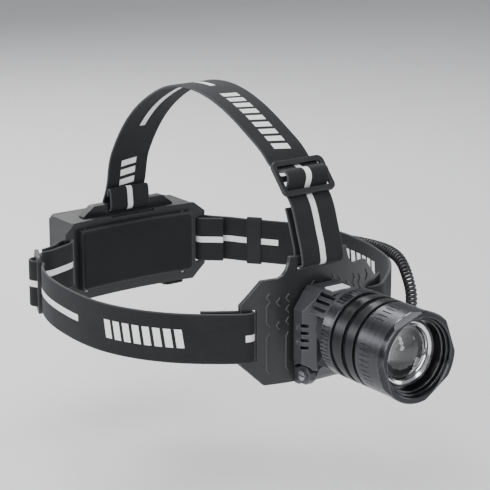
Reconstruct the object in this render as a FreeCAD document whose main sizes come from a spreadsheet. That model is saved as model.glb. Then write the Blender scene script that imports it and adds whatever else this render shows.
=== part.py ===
import FreeCAD, Part
import math
import os

os.makedirs("parts", exist_ok=True)
V = FreeCAD.Vector

# ---------------------------------------------------------------------------
# Rechargeable zoom headlamp on a three-way webbing harness.  Millimetres.
# Frame: origin on the head's axis at the middle of the main band's height,
# +Z up, the lamp looks along -Y, the battery case sits at +Y, X = 0 is the
# lamp's own centre plane.
# ---------------------------------------------------------------------------
doc = FreeCAD.newDocument("headlamp")
sheet = doc.addObject("Spreadsheet::Sheet", "Sizes")
CELLS = [
    ("webwidth", 30.0), ("webthick", 1.6),
    ("axisz", 5.4), ("barrelrad", 25.6), ("grooverad", 24.3), ("tuberad", 23.7), ("tubebore", 22.5),
    ("sleevebore", 24.0), ("sleeverear", -160.5), ("sleevefront", -181.2), ("bezelrad", 26.1),
    ("bezelfront", -185.5), ("lensrad", 17.2), ("zoomtravel", 9.0),
    ("knurlrear", -129.75), ("knurlfront", -138.75), ("neckrad", 22.2), ("neckslim", 14.6), ("necklen", 16.0),
    ("blockhalf", 20.0), ("blockback", -100.0), ("blockfront", -113.0), ("blocktop", 27.4), ("blockbase", -20.0),
    ("hingey", -105.5), ("hingez", -24.0), ("pinrad", 1.5), ("knucklerad", 5.5),
    ("platerad", 115.0), ("platethick", 2.2), ("platecentre", 17.0),
    ("casehalf", 46.8), ("casetop", 25.0), ("casebase", -27.0), ("caseback", 128.6), ("casewall", 2.2),
    ("carrierrad", 305.0), ("carriercentre", -203.0), ("carrierthick", 2.4),
    ("cellrad", 9.2), ("celllen", 65.2), ("celly", 115.2),
    ("coverhingey", 130.4), ("coverhingez", -30.2), ("coverthick", 2.3),
    ("buttonwide", 12.6), ("buttondeep", 7.4), ("buttontravel", 0.8),
    ("cablerad", 3.8), ("portwide", 9.4), ("portdeep", 3.7),
]
for i, (name, val) in enumerate(CELLS):
    sheet.set("A%d" % (i + 1), name)
    sheet.set("B%d" % (i + 1), repr(val))
    sheet.setAlias("B%d" % (i + 1), name)
doc.recompute()


class Q:
    """A size with its value and its sheet expression."""
    def __init__(self, v, e):
        self.v, self.e = float(v), e
    def __add__(self, o):
        o = q(o); return Q(self.v + o.v, "(%s + %s)" % (self.e, o.e))
    __radd__ = __add__
    def __sub__(self, o):
        o = q(o); return Q(self.v - o.v, "(%s - %s)" % (self.e, o.e))
    def __rsub__(self, o):
        return q(o) - self
    def __mul__(self, o):
        o = q(o); return Q(self.v * o.v, "(%s * %s)" % (self.e, o.e))
    __rmul__ = __mul__
    def __truediv__(self, o):
        o = q(o); return Q(self.v / o.v, "(%s / %s)" % (self.e, o.e))
    def __neg__(self):
        return Q(-self.v, "(0 - %s)" % self.e)


def q(x):
    return x if isinstance(x, Q) else Q(x, repr(float(x)))


def S(name):
    return Q(float(sheet.get(name)), "Sizes.%s" % name)


def n(name):
    return float(sheet.get(name))


NODES = []


def node(obj, label):
    obj.Label = label
    NODES.append((label, obj))
    return obj


def bind(obj, prop, size):
    size = q(size)
    obj.setExpression(prop, size.e)


# --- PartDesign helpers ------------------------------------------------------
def new_body(name, z=None, y=None):
    b = doc.addObject("PartDesign::Body", name)
    if z is not None or y is not None:
        b.Placement = FreeCAD.Placement(V(0, y.v if y is not None else 0, z.v if z is not None else 0), FreeCAD.Rotation())
        if z is not None:
            b.setExpression("Placement.Base.z", z.e)
        if y is not None:
            b.setExpression("Placement.Base.y", y.e)
    return b


def sketch(b, name, role, offset=None):
    s = b.newObject("Sketcher::SketchObject", name)
    plane = [f for f in b.Origin.OriginFeatures if f.Role == role][0]
    s.AttachmentSupport = [(plane, "")]
    s.MapMode = "FlatFace"
    if offset is not None:
        offset = q(offset)
        s.AttachmentOffset = FreeCAD.Placement(V(0, 0, offset.v), FreeCAD.Rotation())
        s.setExpression("AttachmentOffset.Base.z", offset.e)
    return s


def put(s, geo, pos, x, y, tag):
    """Hold one point at x, y from the sketch's own origin."""
    import Sketcher
    for kind, val, ax in (("DistanceX", q(x), "x"), ("DistanceY", q(y), "y")):
        if abs(val.v) < 1e-9:
            s.addConstraint(Sketcher.Constraint("PointOnObject", geo, pos, -2 if kind == "DistanceX" else -1))
        else:
            c = s.addConstraint(Sketcher.Constraint(kind, -1, 1, geo, pos, val.v))
            nm = "%s%s" % (tag, ax)
            s.renameConstraint(c, nm)
            s.setExpression("Constraints." + nm, val.e)


def poly(s, pts, tag="p"):
    import Sketcher
    pts = [(q(a), q(c)) for a, c in pts]
    k = len(pts)
    first = s.GeometryCount
    for i in range(k):
        a, c = pts[i], pts[(i + 1) % k]
        s.addGeometry(Part.LineSegment(V(a[0].v, a[1].v, 0), V(c[0].v, c[1].v, 0)), False)
    for i in range(k):
        s.addConstraint(Sketcher.Constraint("Coincident", first + i, 2, first + (i + 1) % k, 1))
    for i in range(k):
        put(s, first + i, 1, pts[i][0], pts[i][1], "%s%d" % (tag, i))


def circle(s, x, y, r, tag="c"):
    import Sketcher
    x, y, r = q(x), q(y), q(r)
    g = s.addGeometry(Part.Circle(V(x.v, y.v, 0), V(0, 0, 1), r.v), False)
    put(s, g, 3, x, y, tag)
    c = s.addConstraint(Sketcher.Constraint("Radius", g, r.v))
    s.renameConstraint(c, tag + "r")
    s.setExpression("Constraints.%sr" % tag, r.e)


def rect(s, x0, y0, x1, y1, tag="b"):
    poly(s, [(x0, y0), (x1, y0), (x1, y1), (x0, y1)], tag)


def pad(b, s, length, name="Pad", rev=False, mid=False):
    f = b.newObject("PartDesign::Pad", name)
    f.Profile = s
    f.Length = q(length).v
    f.setExpression("Length", q(length).e)
    f.Reversed = rev
    f.Midplane = mid
    return f


def pocket(b, s, length, name="Pocket", rev=False, mid=False):
    doc.recompute()
    before = b.Shape.Volume
    f = b.newObject("PartDesign::Pocket", name)
    f.Profile = s
    f.Length = q(length).v
    f.setExpression("Length", q(length).e)
    f.Reversed = rev
    f.Midplane = mid
    doc.recompute()
    if not b.Shape.Volume < before - 1e-6:
        raise RuntimeError("pocket %s in %s removes nothing" % (name, b.Name))
    return f


def turned(name, profile, holes=None):
    """A solid of revolution about the lamp's axis: profile points are (y, r)."""
    b = new_body(name, z=S("axisz"))
    s = sketch(b, name + "_profile", "YZ_Plane")
    poly(s, profile)
    r = b.newObject("PartDesign::Revolution", name + "_turn")
    r.Profile = s
    r.ReferenceAxis = (s, ["H_Axis"])
    r.Angle = 360
    return b


def feature(name, shape, place=None):
    f = doc.addObject("Part::Feature", name)
    f.Shape = shape
    f.Placement = place or FreeCAD.Placement()
    return f


def cut(base, tool, name):
    c = doc.addObject("Part::Cut", name)
    c.Base = base
    c.Tool = tool
    return c


def fuse(objs, name):
    c = doc.addObject("Part::MultiFuse", name)
    c.Shapes = objs
    return c


def prism(pts, axis, a, b):
    """Closed outline pushed along an axis: pts in XZ for 'y', XY for 'z', YZ for 'x'."""
    if axis == "y":
        w = [V(x, a, z) for x, z in pts]; d = V(0, b - a, 0)
    elif axis == "z":
        w = [V(x, y, a) for x, y in pts]; d = V(0, 0, b - a)
    else:
        w = [V(a, y, z) for y, z in pts]; d = V(b - a, 0, 0)
    return Part.Face(Part.makePolygon(w + [w[0]])).extrude(d)


def shell_arc(r_in, r_out, cy, x0, x1, z0, z1, back):
    """Slice of an upright cylinder wall about (0, cy); back picks its +Y or -Y side."""
    out = Part.makeCylinder(r_out, z1 - z0, V(0, cy, z0)).cut(Part.makeCylinder(r_in, z1 - z0, V(0, cy, z0)))
    y0, y1 = (cy, cy + r_out + 5) if back else (cy - r_out - 5, cy)
    return out.common(Part.makeBox(x1 - x0, y1 - y0, z1 - z0, V(x0, y0, z0)))


def smooth(pts, step=2.6):
    """Even points along a smooth curve through pts."""
    c = Part.BSplineCurve()
    c.interpolate([V(a, b, 0) for a, b in pts])
    e = c.toShape()
    k = max(4, int(round(e.Length / step)))
    return [(p.x, p.y) for p in e.discretize(Number=k + 1)]


def offset_pair(pts, t):
    left, right = [], []
    for i, p in enumerate(pts):
        a = pts[max(0, i - 1)]; b = pts[min(len(pts) - 1, i + 1)]
        dx, dy = b[0] - a[0], b[1] - a[1]
        m = math.hypot(dx, dy); nx, ny = -dy / m, dx / m
        left.append((p[0] + nx * t / 2, p[1] + ny * t / 2))
        right.append((p[0] - nx * t / 2, p[1] - ny * t / 2))
    return left + right[::-1]


def web(pts, t, axis, a, b, step=2.6, raw=False):
    """A strip of webbing: centreline pts, thickness t, width from a to b along axis."""
    line = pts if raw else smooth(pts, step)
    return prism(offset_pair(line, t), axis, a, b)


W = n("webwidth") / 2
T = n("webthick")
ZA = n("axisz")

# ---------------------------------------------------------------------------
# Front plate: a thin moulded sheet curved round the forehead, with a slotted
# tab on top for the crown strap and a slot near each end for the side straps.
# ---------------------------------------------------------------------------
PR, PT, PC = n("platerad"), n("platethick"), n("platecentre")


def plate_outline():
    left = [(-20.5, 45.0), (-21.0, 41.5), (-22.6, 37.4), (-24.8, 34.4), (-27.6, 33.0), (-37.2, 32.6), (-48.8, 18.8),
            (-48.8, -17.2), (-35.8, -30.4)]
    right = [(35.8, -30.4), (51.5, -17.2), (51.5, 18.8), (38.6, 32.6), (27.6, 33.0), (24.8, 34.4), (22.6, 37.4),
             (21.0, 41.5), (20.5, 45.0)]
    return left + right


def chevron(cx, z0, w, ht, t):
    """A shallow arrow head that points outwards, as closed outline points."""
    s = 1 if cx > 0 else -1
    o = [(cx - s * w / 2, z0 + ht / 2), (cx + s * w / 2, z0), (cx - s * w / 2, z0 - ht / 2)]
    return o, t


def plate_bars():
    """Raised lines of the plate's pattern: polylines (x, z) for the left half."""
    L = []
    def chev(cx, z, w=1.7, ht=2.2):
        L.append([(cx + w / 2, z + ht), (cx - w / 2, z), (cx + w / 2, z - ht)])
    chev(-33.5, 22.5)
    L.append([(-32.5, 19.3), (-34.3, 16.9), (-34.3, 7.4), (-32.5, 5.2)])
    L.append([(-32.5, 0.6), (-34.3, -1.6), (-34.3, -21.2), (-32.5, -23.4)])
    chev(-27.7, 19.0)
    chev(-27.7, 5.0)
    for z in (21.0, 14.4, 7.2):
        chev(-21.9, z)
    L.append([(-21.3, 0.3), (-22.6, -1.6), (-22.6, -20.6), (-21.3, -22.8)])
    return L


def bar_shape(line, wd, r_out, depth, mirror):
    out = []
    for (a, b) in zip(line[:-1], line[1:]):
        ax, az, bx, bz = a[0], a[1], b[0], b[1]
        if mirror:
            ax, bx = -ax, -bx
        m = math.hypot(bx - ax, bz - az)
        ux, uz = (bx - ax) / m, (bz - az) / m
        px, pz = -uz * wd / 2, ux * wd / 2
        e = wd * 0.25
        pts = [(ax - ux * e + px, az - uz * e + pz), (bx + ux * e + px, bz + uz * e + pz),
               (bx + ux * e - px, bz + uz * e - pz), (ax - ux * e - px, az - uz * e - pz)]
        out.append(prism(pts, "y", -101, -85))
    return out


sheet_arc = shell_arc(PR - PT, PR, PC, -60, 60, -40, 60, False)
plate = sheet_arc.common(prism(plate_outline(), "y", -110, -70))
# slots for the side straps and the crown strap
plate = plate.cut(Part.makeBox(3.6, 40, 31.4, V(-43.4, -110, -15.7)))
plate = plate.cut(Part.makeBox(3.6, 40, 31.4, V(39.8, -110, -15.7)))
plate = plate.cut(Part.makeBox(31.4, 40, 3.7, V(-15.7, -110, 36.7)))
# screw holes for the tilt bracket
for hx, hz in ((-8.0, -28.3), (8.0, -28.3), (24.0, -28.3)):
    plate = plate.cut(Part.makeCylinder(1.25, 40, V(hx, -110, hz), V(0, 1, 0)))
# raised pattern
skin = shell_arc(PR - 0.3, PR + 0.45, PC, -60, 60, -40, 60, False)
bars = []
for mirror in (False, True):
    for line in plate_bars():
        bars += bar_shape(line, 0.75, PR, 0.45, mirror)
for cx, cz in ((9.7, 28.3), (15.2, 25.6), (28.0, 24.3), (-5.3, 26.7), (-9.5, 24.4)):
    o = 0.85 if cx > 0 else -0.85
    bars += bar_shape([(cx - o, cz + 1.9), (cx + o, cz), (cx - o, cz - 1.9)], 0.75, PR, 0.45, False)
bars += bar_shape([(39.8, 25.6), (41.4, 24.0), (41.4, 21.2), (39.8, 19.6)], 0.75, PR, 0.45, False)
relief = bars[0].multiFuse(bars[1:]).common(skin).cut(Part.makeBox(60, 30, 12, V(-18, -110, -33)))
plate = plate.fuse(relief).removeSplitter()
node(feature("FrontPlate", plate), "front_plate")

# foam liner behind the plate, between the straps' ends
liner = shell_arc(PR - PT - 3.2, PR - PT, PC, -36, 36, -27, 29, False)
node(feature("FrontLiner", liner), "front_foam_liner")

# ---------------------------------------------------------------------------
# Tilt bracket: foot on the plate, two ears that carry the hinge pin.
# ---------------------------------------------------------------------------
HY, HZ = n("hingey"), n("hingez")
b = new_body("TiltBracketBody")
s = sketch(b, "BracketFoot", "XZ_Plane", 94.0)
rect(s, -17.0, -31.0, 30.0, -21.6)
pad(b, s, 6.6)
s = sketch(b, "BracketEars", "YZ_Plane", -17.0)
poly(s, [(-99.0, -30.2), (-99.0, -21.6), (-103.2, -19.0), (-107.6, -19.0), (-110.8, -22.0), (-110.8, -26.2), (-107.6, -29.4)])
pad(b, s, 4.5, "EarLeft")
s = sketch(b, "BracketEars2", "YZ_Plane", 12.5)
poly(s, [(-99.0, -30.2), (-99.0, -21.6), (-103.2, -19.0), (-107.6, -19.0), (-110.8, -22.0), (-110.8, -26.2), (-107.6, -29.4)])
pad(b, s, 4.5, "EarRight")
s = sketch(b, "PinBore", "YZ_Plane", -17.5)
circle(s, S("hingey"), S("hingez"), S("pinrad") + 0.02)
pocket(b, s, 35.0, rev=True)
plate_tool = feature("BracketSeat", Part.makeCylinder(PR, 60, V(0, PC, -60)))
holes = Part.makeCompound([Part.makeCylinder(1.25, 20, V(hx, -110, -28.3), V(0, 1, 0)) for hx in (-8.0, 8.0, 24.0)])
bracket = cut(cut(b, plate_tool, "BracketCurved"), feature("BracketHoles", holes), "TiltBracket")
node(bracket, "tilt_bracket")

screws = []
for hx in (-8.0, 8.0, 24.0):
    yb = PC - math.sqrt((PR - PT) ** 2 - hx ** 2)
    hd = Part.makeCylinder(2.1, 1.0, V(hx, -101.6, -28.3), V(0, 1, 0))
    sl = Part.makeBox(3.2, 0.5, 0.6, V(hx - 1.6, -101.7, -28.6))
    screws.append(hd.fuse(Part.makeCylinder(1.22, abs(-100.7 - yb), V(hx, -100.7, -28.3), V(0, 1, 0))).cut(sl).removeSplitter())
node(feature("BracketScrews", Part.makeCompound(screws)), "bracket_screws")

b = new_body("HingePinBody")
s = sketch(b, "PinRound", "YZ_Plane", -17.6)
circle(s, S("hingey"), S("hingez"), S("pinrad"))
pad(b, s, 36.6)
s = sketch(b, "PinHead", "YZ_Plane", -19.2)
circle(s, S("hingey"), S("hingez"), 2.9)
pad(b, s, 2.1, "Head")
s = sketch(b, "PinSlot", "YZ_Plane", -19.3)
rect(s, S("hingey") - 3.2, S("hingez") - 0.4, S("hingey") + 3.2, S("hingez") + 0.4)
pocket(b, s, 0.9, rev=True)
node(b, "hinge_pin")

b = new_body("HingeNutBody")
s = sketch(b, "NutHex", "YZ_Plane", 17.1)
poly(s, [(S("hingey") + 3.1 * math.cos(math.radians(60 * k)), S("hingez") + 3.1 * math.sin(math.radians(60 * k))) for k in range(6)])
pad(b, s, 2.2)
s = sketch(b, "NutBore", "YZ_Plane", 17.0)
circle(s, S("hingey"), S("hingez"), S("pinrad"))
pocket(b, s, 2.4, rev=True)
node(b, "hinge_nut")

# ---------------------------------------------------------------------------
# Lamp block: hollow metal housing with a round neck, the switch on top, a
# knuckle below.  It tilts on the bracket's pin.
# ---------------------------------------------------------------------------
BH = n("blockhalf")
b = new_body("LampBlockBody")
s = sketch(b, "BlockFront", "XZ_Plane", -S("blockback"))
poly(s, [(-S("blockhalf"), S("blockbase")), (S("blockhalf"), S("blockbase")), (S("blockhalf"), 15.0), (13.4, 24.6), (10.0, S("blocktop")),
         (-10.0, S("blocktop")), (-13.4, 24.6), (-S("blockhalf"), 15.0)])
pad(b, s, S("blockback") - S("blockfront"), "BlockPad")
s = sketch(b, "ChamferCuts", "XY_Plane", -21.0)
poly(s, [(-20.5, -106.6), (-20.5, -113.5), (-13.4, -113.5)], "a")
poly(s, [(20.5, -106.6), (20.5, -113.5), (13.4, -113.5)], "d")
pocket(b, s, 60.0, "BlockChamfers", rev=True)
s = sketch(b, "NeckRound", "XZ_Plane", 106.0)
circle(s, 0, S("axisz"), S("neckslim"))
pad(b, s, S("necklen") + 7.0, "Neck")
s = sketch(b, "SwitchBoss", "XZ_Plane", 106.0)
poly(s, [(-12.0, 18.0), (12.0, 18.0), (10.8, 25.8), (8.8, S("blocktop")), (-8.8, S("blocktop")), (-10.8, 25.8)])
pad(b, s, 15.6, "Boss")
s = sketch(b, "KnuckleProfile", "YZ_Plane", -12.0)
poly(s, [(-103.1, -18.0), (-102.1, -21.0), (-101.5, -23.4), (-101.6, -25.2), (-102.6, -26.9), (-104.3, -27.9), (-106.4, -28.0), (-108.4, -26.9), (-110.5, -24.5), (-114.5, -18.0)])
pad(b, s, 24.0, "Knuckle")
# clearance round the bracket's ears
s = sketch(b, "EarRelief", "YZ_Plane", -20.5)
circle(s, S("hingey"), S("hingez"), 7.4)
pocket(b, s, 8.2, "EarReliefL", rev=True)
s = sketch(b, "EarRelief2", "YZ_Plane", 12.3)
circle(s, S("hingey"), S("hingez"), 7.4)
pocket(b, s, 8.2, "EarReliefR", rev=True)
s = sketch(b, "KnuckleBore", "YZ_Plane", -13.0)
circle(s, S("hingey"), S("hingez"), S("pinrad") + 0.05)
pocket(b, s, 26.0, "KnuckleHole", rev=True)
# cavity for the driver, open at the back
s = sketch(b, "Cavity", "XZ_Plane", 99.0)
rect(s, -16.0, -15.0, 16.0, 14.0)
pocket(b, s, 11.0, "DriverCavity", rev=True)
# bore for the wires and the heat sink's plug
s = sketch(b, "NeckBore", "XZ_Plane", 109.0)
circle(s, 0, S("axisz"), 13.3)
pocket(b, s, 26.0, "SinkSeat", rev=True)
# switch well
s = sketch(b, "SwitchWell", "XY_Plane", 22.9)
rect(s, -S("buttonwide") / 2 - 0.2, -114.0 - S("buttondeep") / 2 - 0.2, S("buttonwide") / 2 + 0.2, -114.0 + S("buttondeep") / 2 + 0.2)
pocket(b, s, 6.0, "Well", rev=True)
s = sketch(b, "SwitchWire", "XY_Plane", 18.0)
circle(s, 0, -114.0, 1.5)
pocket(b, s, 6.0, "WellHole", rev=True)
# side recess with three ribs left standing, on each front chamfer
s = sketch(b, "SideRecess", "XZ_Plane", 105.2)
for k, zz in enumerate((6.6, 2.2, -2.2, -6.6)):
    rect(s, -20.6, zz - 1.0, -17.0, zz + 1.0, "l%d" % k)
    rect(s, 17.0, zz - 1.0, 20.6, zz + 1.0, "r%d" % k)
pocket(b, s, 6.0, "RibGaps", rev=True)
# seats of the side screws
s = sketch(b, "ScrewSeat", "YZ_Plane", -20.6)
circle(s, -103.7, 5.1, 2.0, "u")
circle(s, -103.7, -4.0, 2.0, "v")
pocket(b, s, 1.6, "SeatL", rev=True)
s = sketch(b, "ScrewSeat2", "YZ_Plane", 19.0)
circle(s, -103.7, 5.1, 2.0, "u")
circle(s, -103.7, -4.0, 2.0, "v")
pocket(b, s, 1.6, "SeatR", rev=True)
doc.recompute()
cuts = []
for ang in (38, 50, 62, 118, 130, 142):
    bx = Part.makeBox(8.0, 12.0, 2.2, V(19.2, -124.6, -1.1))
    bx.rotate(V(0, 0, 0), V(0, 1, 0), -ang)
    bx.translate(V(0, 0, ZA))
    cuts.append(bx)
fins = []
for ang in (-126, -108, -90, -72, -54):
    bx = Part.makeBox(11.3, 9.4, 2.0, V(14.0, -126.0, -1.0))
    bx.rotate(V(0, 0, 0), V(0, 1, 0), -ang)
    bx.translate(V(0, 0, ZA))
    fins.append(bx)
# notched collar over the top of the slim neck, and the round flange in front of it
NR = n("neckrad")
collar = Part.makeCylinder(NR, 16.2, V(0, -129.0, ZA), V(0, 1, 0)).common(Part.makeBox(60, 30, 20, V(-30, -135, 16.0)))
flange = Part.makeCylinder(NR - 0.7, 1.4, V(0, -129.0, ZA), V(0, 1, 0))
collar = collar.multiFuse([flange] + fins).cut(Part.makeCylinder(13.3, 30, V(0, -135.0, ZA), V(0, 1, 0))).removeSplitter()
blk = fuse([b, feature("NeckCollar", collar)], "BlockWithFins")
wide, deep = n("buttonwide") + 0.4, n("buttondeep") + 0.4
well = Part.makeBox(wide, deep, 6.0, V(-wide / 2, -114.0 - deep / 2, 22.9)).fuse(Part.makeCylinder(1.5, 6.0, V(0, -114.0, 18.0), V(0, 0, 1)))
block = cut(blk, feature("NeckNotches", Part.makeCompound(cuts + [well])), "LampBlock")
node(block, "lamp_block")

# rear cover of the block
b = new_body("BlockCoverBody")
s = sketch(b, "CoverOutline", "XZ_Plane", 98.6)
poly(s, [(-19.4, -16.2), (19.4, -16.2), (19.4, 14.7), (13.0, 24.0), (9.6, 26.8), (-9.6, 26.8), (-13.0, 24.0), (-19.4, 14.7)])
pad(b, s, 1.4)
s = sketch(b, "CoverHoles", "XZ_Plane", 98.0)
for k, (hx, hz) in enumerate(((-17.7, -13.6), (17.7, -13.6), (-17.7, 12.2), (17.7, 12.2))):
    circle(s, hx, hz, 0.82, "k%d" % k)
pocket(b, s, 3.0, rev=True)
node(b, "block_rear_cover")

# flat gasket in the cavity's mouth
b = new_body("BlockGasketBody")
s = sketch(b, "GasketOuter", "XZ_Plane", 100.1)
rect(s, -15.8, -14.8, 15.8, 13.8)
pad(b, s, 0.9)
s = sketch(b, "GasketInner", "XZ_Plane", 100.0)
rect(s, -13.6, -12.6, 13.6, 11.6)
pocket(b, s, 1.4, rev=True)
node(b, "block_gasket")

sc = []
for sx in (-1, 1):
    for zz in (5.1, -4.0):
        c = Part.makeCylinder(1.85, 0.9, V(19.05 if sx > 0 else -19.95, -103.7, zz), V(1, 0, 0))
        sl = Part.makeBox(1.0, 2.6, 0.5, V(19.5 if sx > 0 else -20.45, -105.0, zz - 0.25))
        sc.append(c.cut(sl))
node(feature("SideScrews", Part.makeCompound(sc)), "block_side_screws")

# driver board, switch and its board
b = new_body("DriverBoardBody")
s = sketch(b, "BoardOutline", "XZ_Plane", 103.2)
rect(s, -15.0, -14.0, 15.0, 13.0)
pad(b, s, 1.2)
s = sketch(b, "Inductor", "XZ_Plane", 104.3)
rect(s, -10.0, -9.0, -3.0, -2.0, "i")
rect(s, 3.0, -8.0, 11.0, 0.0, "j")
pad(b, s, 3.4, "Parts")
node(b, "driver_board")

b = new_body("SwitchBody")
s = sketch(b, "SwitchBase", "XY_Plane", 23.0)
rect(s, -3.0, -117.0, 3.0, -111.0)
pad(b, s, 1.6)
s = sketch(b, "SwitchStem", "XY_Plane", 24.5)
circle(s, 0, -114.0, 1.4)
pad(b, s, 0.7, "Stem")
node(b, "tactile_switch")

b = new_body("ButtonBody")
s = sketch(b, "ButtonTop", "XY_Plane", 26.3)
rect(s, -S("buttonwide") / 2, -114.0 - S("buttondeep") / 2, S("buttonwide") / 2, -114.0 + S("buttondeep") / 2)
top = pad(b, s, 1.9)
doc.recompute()
rim = ["Edge%d" % (k + 1) for k, e in enumerate(top.Shape.Edges) if abs(e.CenterOfMass.z - 28.2) < 1e-6]
f = b.newObject("PartDesign::Fillet", "ButtonEdge")
f.Base = (top, rim)
f.Radius = 0.5
node(b, "power_button")

# ---------------------------------------------------------------------------
# Heat sink, light source and the fixed tube with its two grip bands
# ---------------------------------------------------------------------------
SINK = turned("HeatSink", [(-109.4, 0), (-109.4, 13.2), (-129.2, 13.2), (-129.2, 20.6), (-144.0, 20.6), (-144.0, 0)])
node(SINK, "heat_sink")
node(turned("LedBoard", [(-144.0, 0), (-144.0, 10.0), (-145.6, 10.0), (-145.6, 0)]), "led_board")
b = new_body("EmitterBody", z=S("axisz"))
s = sketch(b, "EmitterSquare", "XZ_Plane", 145.6)
rect(s, -3.5, -3.5, 3.5, 3.5)
pad(b, s, 0.8)
s = sketch(b, "EmitterWindow", "XZ_Plane", 146.3)
rect(s, -2.5, -2.5, 2.5, 2.5)
pad(b, s, 0.6, "Window")
node(b, "led_emitter")
sc = []
for sx in (-1, 1):
    sc.append(Part.makeCylinder(1.5, 1.1, V(sx * 7.4, -146.7, ZA), V(0, 1, 0)).cut(Part.makeBox(2.2, 0.5, 0.45, V(sx * 7.4 - 1.1, -146.8, ZA - 0.22))))
node(feature("LedScrews", Part.makeCompound(sc)), "led_board_screws")


def ring_slots(r_in, y0, y1, wide, first, count, pitch):
    out = []
    for grp in range(4):
        for k in range(count):
            a = first + grp * 90 + k * pitch
            bx = Part.makeBox(6.0, y1 - y0, wide, V(r_in, y0, -wide / 2))
            bx.rotate(V(0, 0, 0), V(0, 1, 0), -a)
            bx.translate(V(0, 0, ZA))
            out.append(bx)
    return Part.makeCompound(out)


kn = turned("KnurlBlank", [(S("knurlrear"), 20.7), (S("knurlrear"), S("barrelrad") - 0.7), (S("knurlrear") - 0.7, S("barrelrad")),
                           (S("knurlfront") + 0.5, S("barrelrad")), (S("knurlfront"), S("barrelrad") - 0.5), (S("knurlfront"), 20.7)])
node(cut(kn, feature("KnurlSlots", ring_slots(24.9, -137.6, -130.9, 0.7, 160, 11, 5.4)), "KnurlRing"), "grip_ring")

node(turned("FixedTube", [
    (S("knurlfront") - 0.05, 20.7), (S("knurlfront") - 0.05, S("grooverad")), (-143.4, S("grooverad")), (-143.8, S("barrelrad")),
    (-149.2, S("barrelrad")), (-149.6, S("grooverad")), (-152.8, S("grooverad")), (-153.2, S("barrelrad")),
    (-158.8, S("barrelrad")), (-159.2, S("grooverad")), (-160.1, S("grooverad")), (-160.1, S("tuberad")),
    (-169.6, S("tuberad")), (-169.6, S("tuberad") - 0.9), (-171.4, S("tuberad") - 0.9), (-171.4, S("tuberad")),
    (-177.6, S("tuberad")), (-177.6, S("tubebore")), (-144.6, S("tubebore")), (-144.6, 20.7)]), "barrel_tube")
node(turned("ORing", [(-169.8, 22.85), (-169.8, 23.7), (-170.1, 23.95), (-170.9, 23.95), (-171.2, 23.7), (-171.2, 22.85)]), "barrel_o_ring")

# ---------------------------------------------------------------------------
# Zoom head: sleeve, bezel, lens, retaining ring and seal slide as one
# ---------------------------------------------------------------------------
sl = turned("SleeveBlank", [(S("sleeverear"), S("sleevebore")), (S("sleeverear"), S("barrelrad") - 0.9), (S("sleeverear") - 0.9, S("barrelrad")),
                            (S("sleevefront"), S("barrelrad")), (S("sleevefront"), 24.56), (-178.2, 24.56), (-178.2, S("sleevebore"))])
node(cut(sl, feature("SleeveSlots", ring_slots(25.0, -172.6, -165.0, 0.55, 162, 9, 6.75)), "ZoomSleeve"), "zoom_sleeve")

bz = turned("BezelBlank", [
    (S("bezelfront"), 22.9), (S("bezelfront"), S("bezelrad") - 0.5), (S("bezelfront") + 0.6, S("bezelrad")), (S("sleevefront"), S("bezelrad")),
    (S("sleevefront"), 24.5), (-178.2, 24.5), (-178.2, 22.1), (-165.0, 22.1), (-165.0, 17.35),
    (-172.4, 17.35), (-172.4, 17.95), (-175.5, 17.95), (-175.5, 18.6), (-180.4, 20.3), (-180.4, 20.8), (-183.0, 21.4),
    (-183.0, 22.3), (-184.9, 22.4)])
flats = []
for ang in (20, 110, 200, 304):
    # a plane that leans inwards towards the front edge
    bx = Part.makeBox(12.0, 16.0, 60.0, V(0, -16.0, -30.0))
    bx.rotate(V(0, 0, 0), V(0, 0, 1), -22.0)
    bx.translate(V(26.2, -179.6, 0))
    bx.rotate(V(0, 0, 0), V(0, 1, 0), -ang)
    bx.translate(V(0, 0, ZA))
    flats.append(bx)
node(cut(bz, feature("BezelFlats", Part.makeCompound(flats)), "Bezel"), "bezel")

# lens: plano-convex, dome forward
lens_pts = [(-163.6, 0), (-163.6, S("lensrad")), (-172.3, S("lensrad")), (-172.3, 15.5)]
RS = (15.5 ** 2 + 6.4 ** 2) / (2 * 6.4)
cyl = -172.3 - 6.4 + RS
for k in range(1, 9):
    a = math.asin(15.5 / RS) * (1 - k / 8.0)
    if k < 8:
        lens_pts.append((round(cyl - RS * math.cos(a), 4), round(RS * math.sin(a), 4)))
lens_pts.append((-178.7, 0))
node(turned("Lens", lens_pts), "lens")
node(turned("LensRing", [(-172.4, 15.6), (-172.4, 17.9), (-175.2, 17.9), (-175.2, 17.3), (-174.4, 16.0), (-173.6, 15.6)]), "lens_retaining_ring")
node(turned("LensSeal", [(-162.6, 15.8), (-162.6, 17.2), (-163.6, 17.2), (-163.6, 15.8)]), "lens_seal")
node(turned("LensHolder", [(-161.2, 15.8), (-161.2, 22.0), (-164.9, 22.0), (-164.9, 17.3), (-162.5, 17.3), (-162.5, 15.8)]), "lens_clamp_ring")

# ---------------------------------------------------------------------------
# Battery case with its curved carrier plate, pad, cover and cells
# ---------------------------------------------------------------------------
CR, CC, CT = n("carrierrad"), n("carriercentre"), n("carrierthick")
CH, CTOP, CBASE, CBACK, CW = n("casehalf"), n("casetop"), n("casebase"), n("caseback"), n("casewall")

outline = [(-46.6, 25.8), (46.6, 25.8), (54.2, 19.6), (54.2, -17.4), (45.2, -27.0), (-45.2, -27.0), (-54.2, -17.4), (-54.2, 19.6)]
carrier = shell_arc(CR, CR + CT, CC, -56, 56, -30, 30, True).common(prism(outline, "y", 80, 115))
for sx in (-1, 1):
    carrier = carrier.cut(Part.makeBox(3.9, 40, 31.4, V(sx * 49.4 - 1.95, 80, -15.7)))
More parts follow.
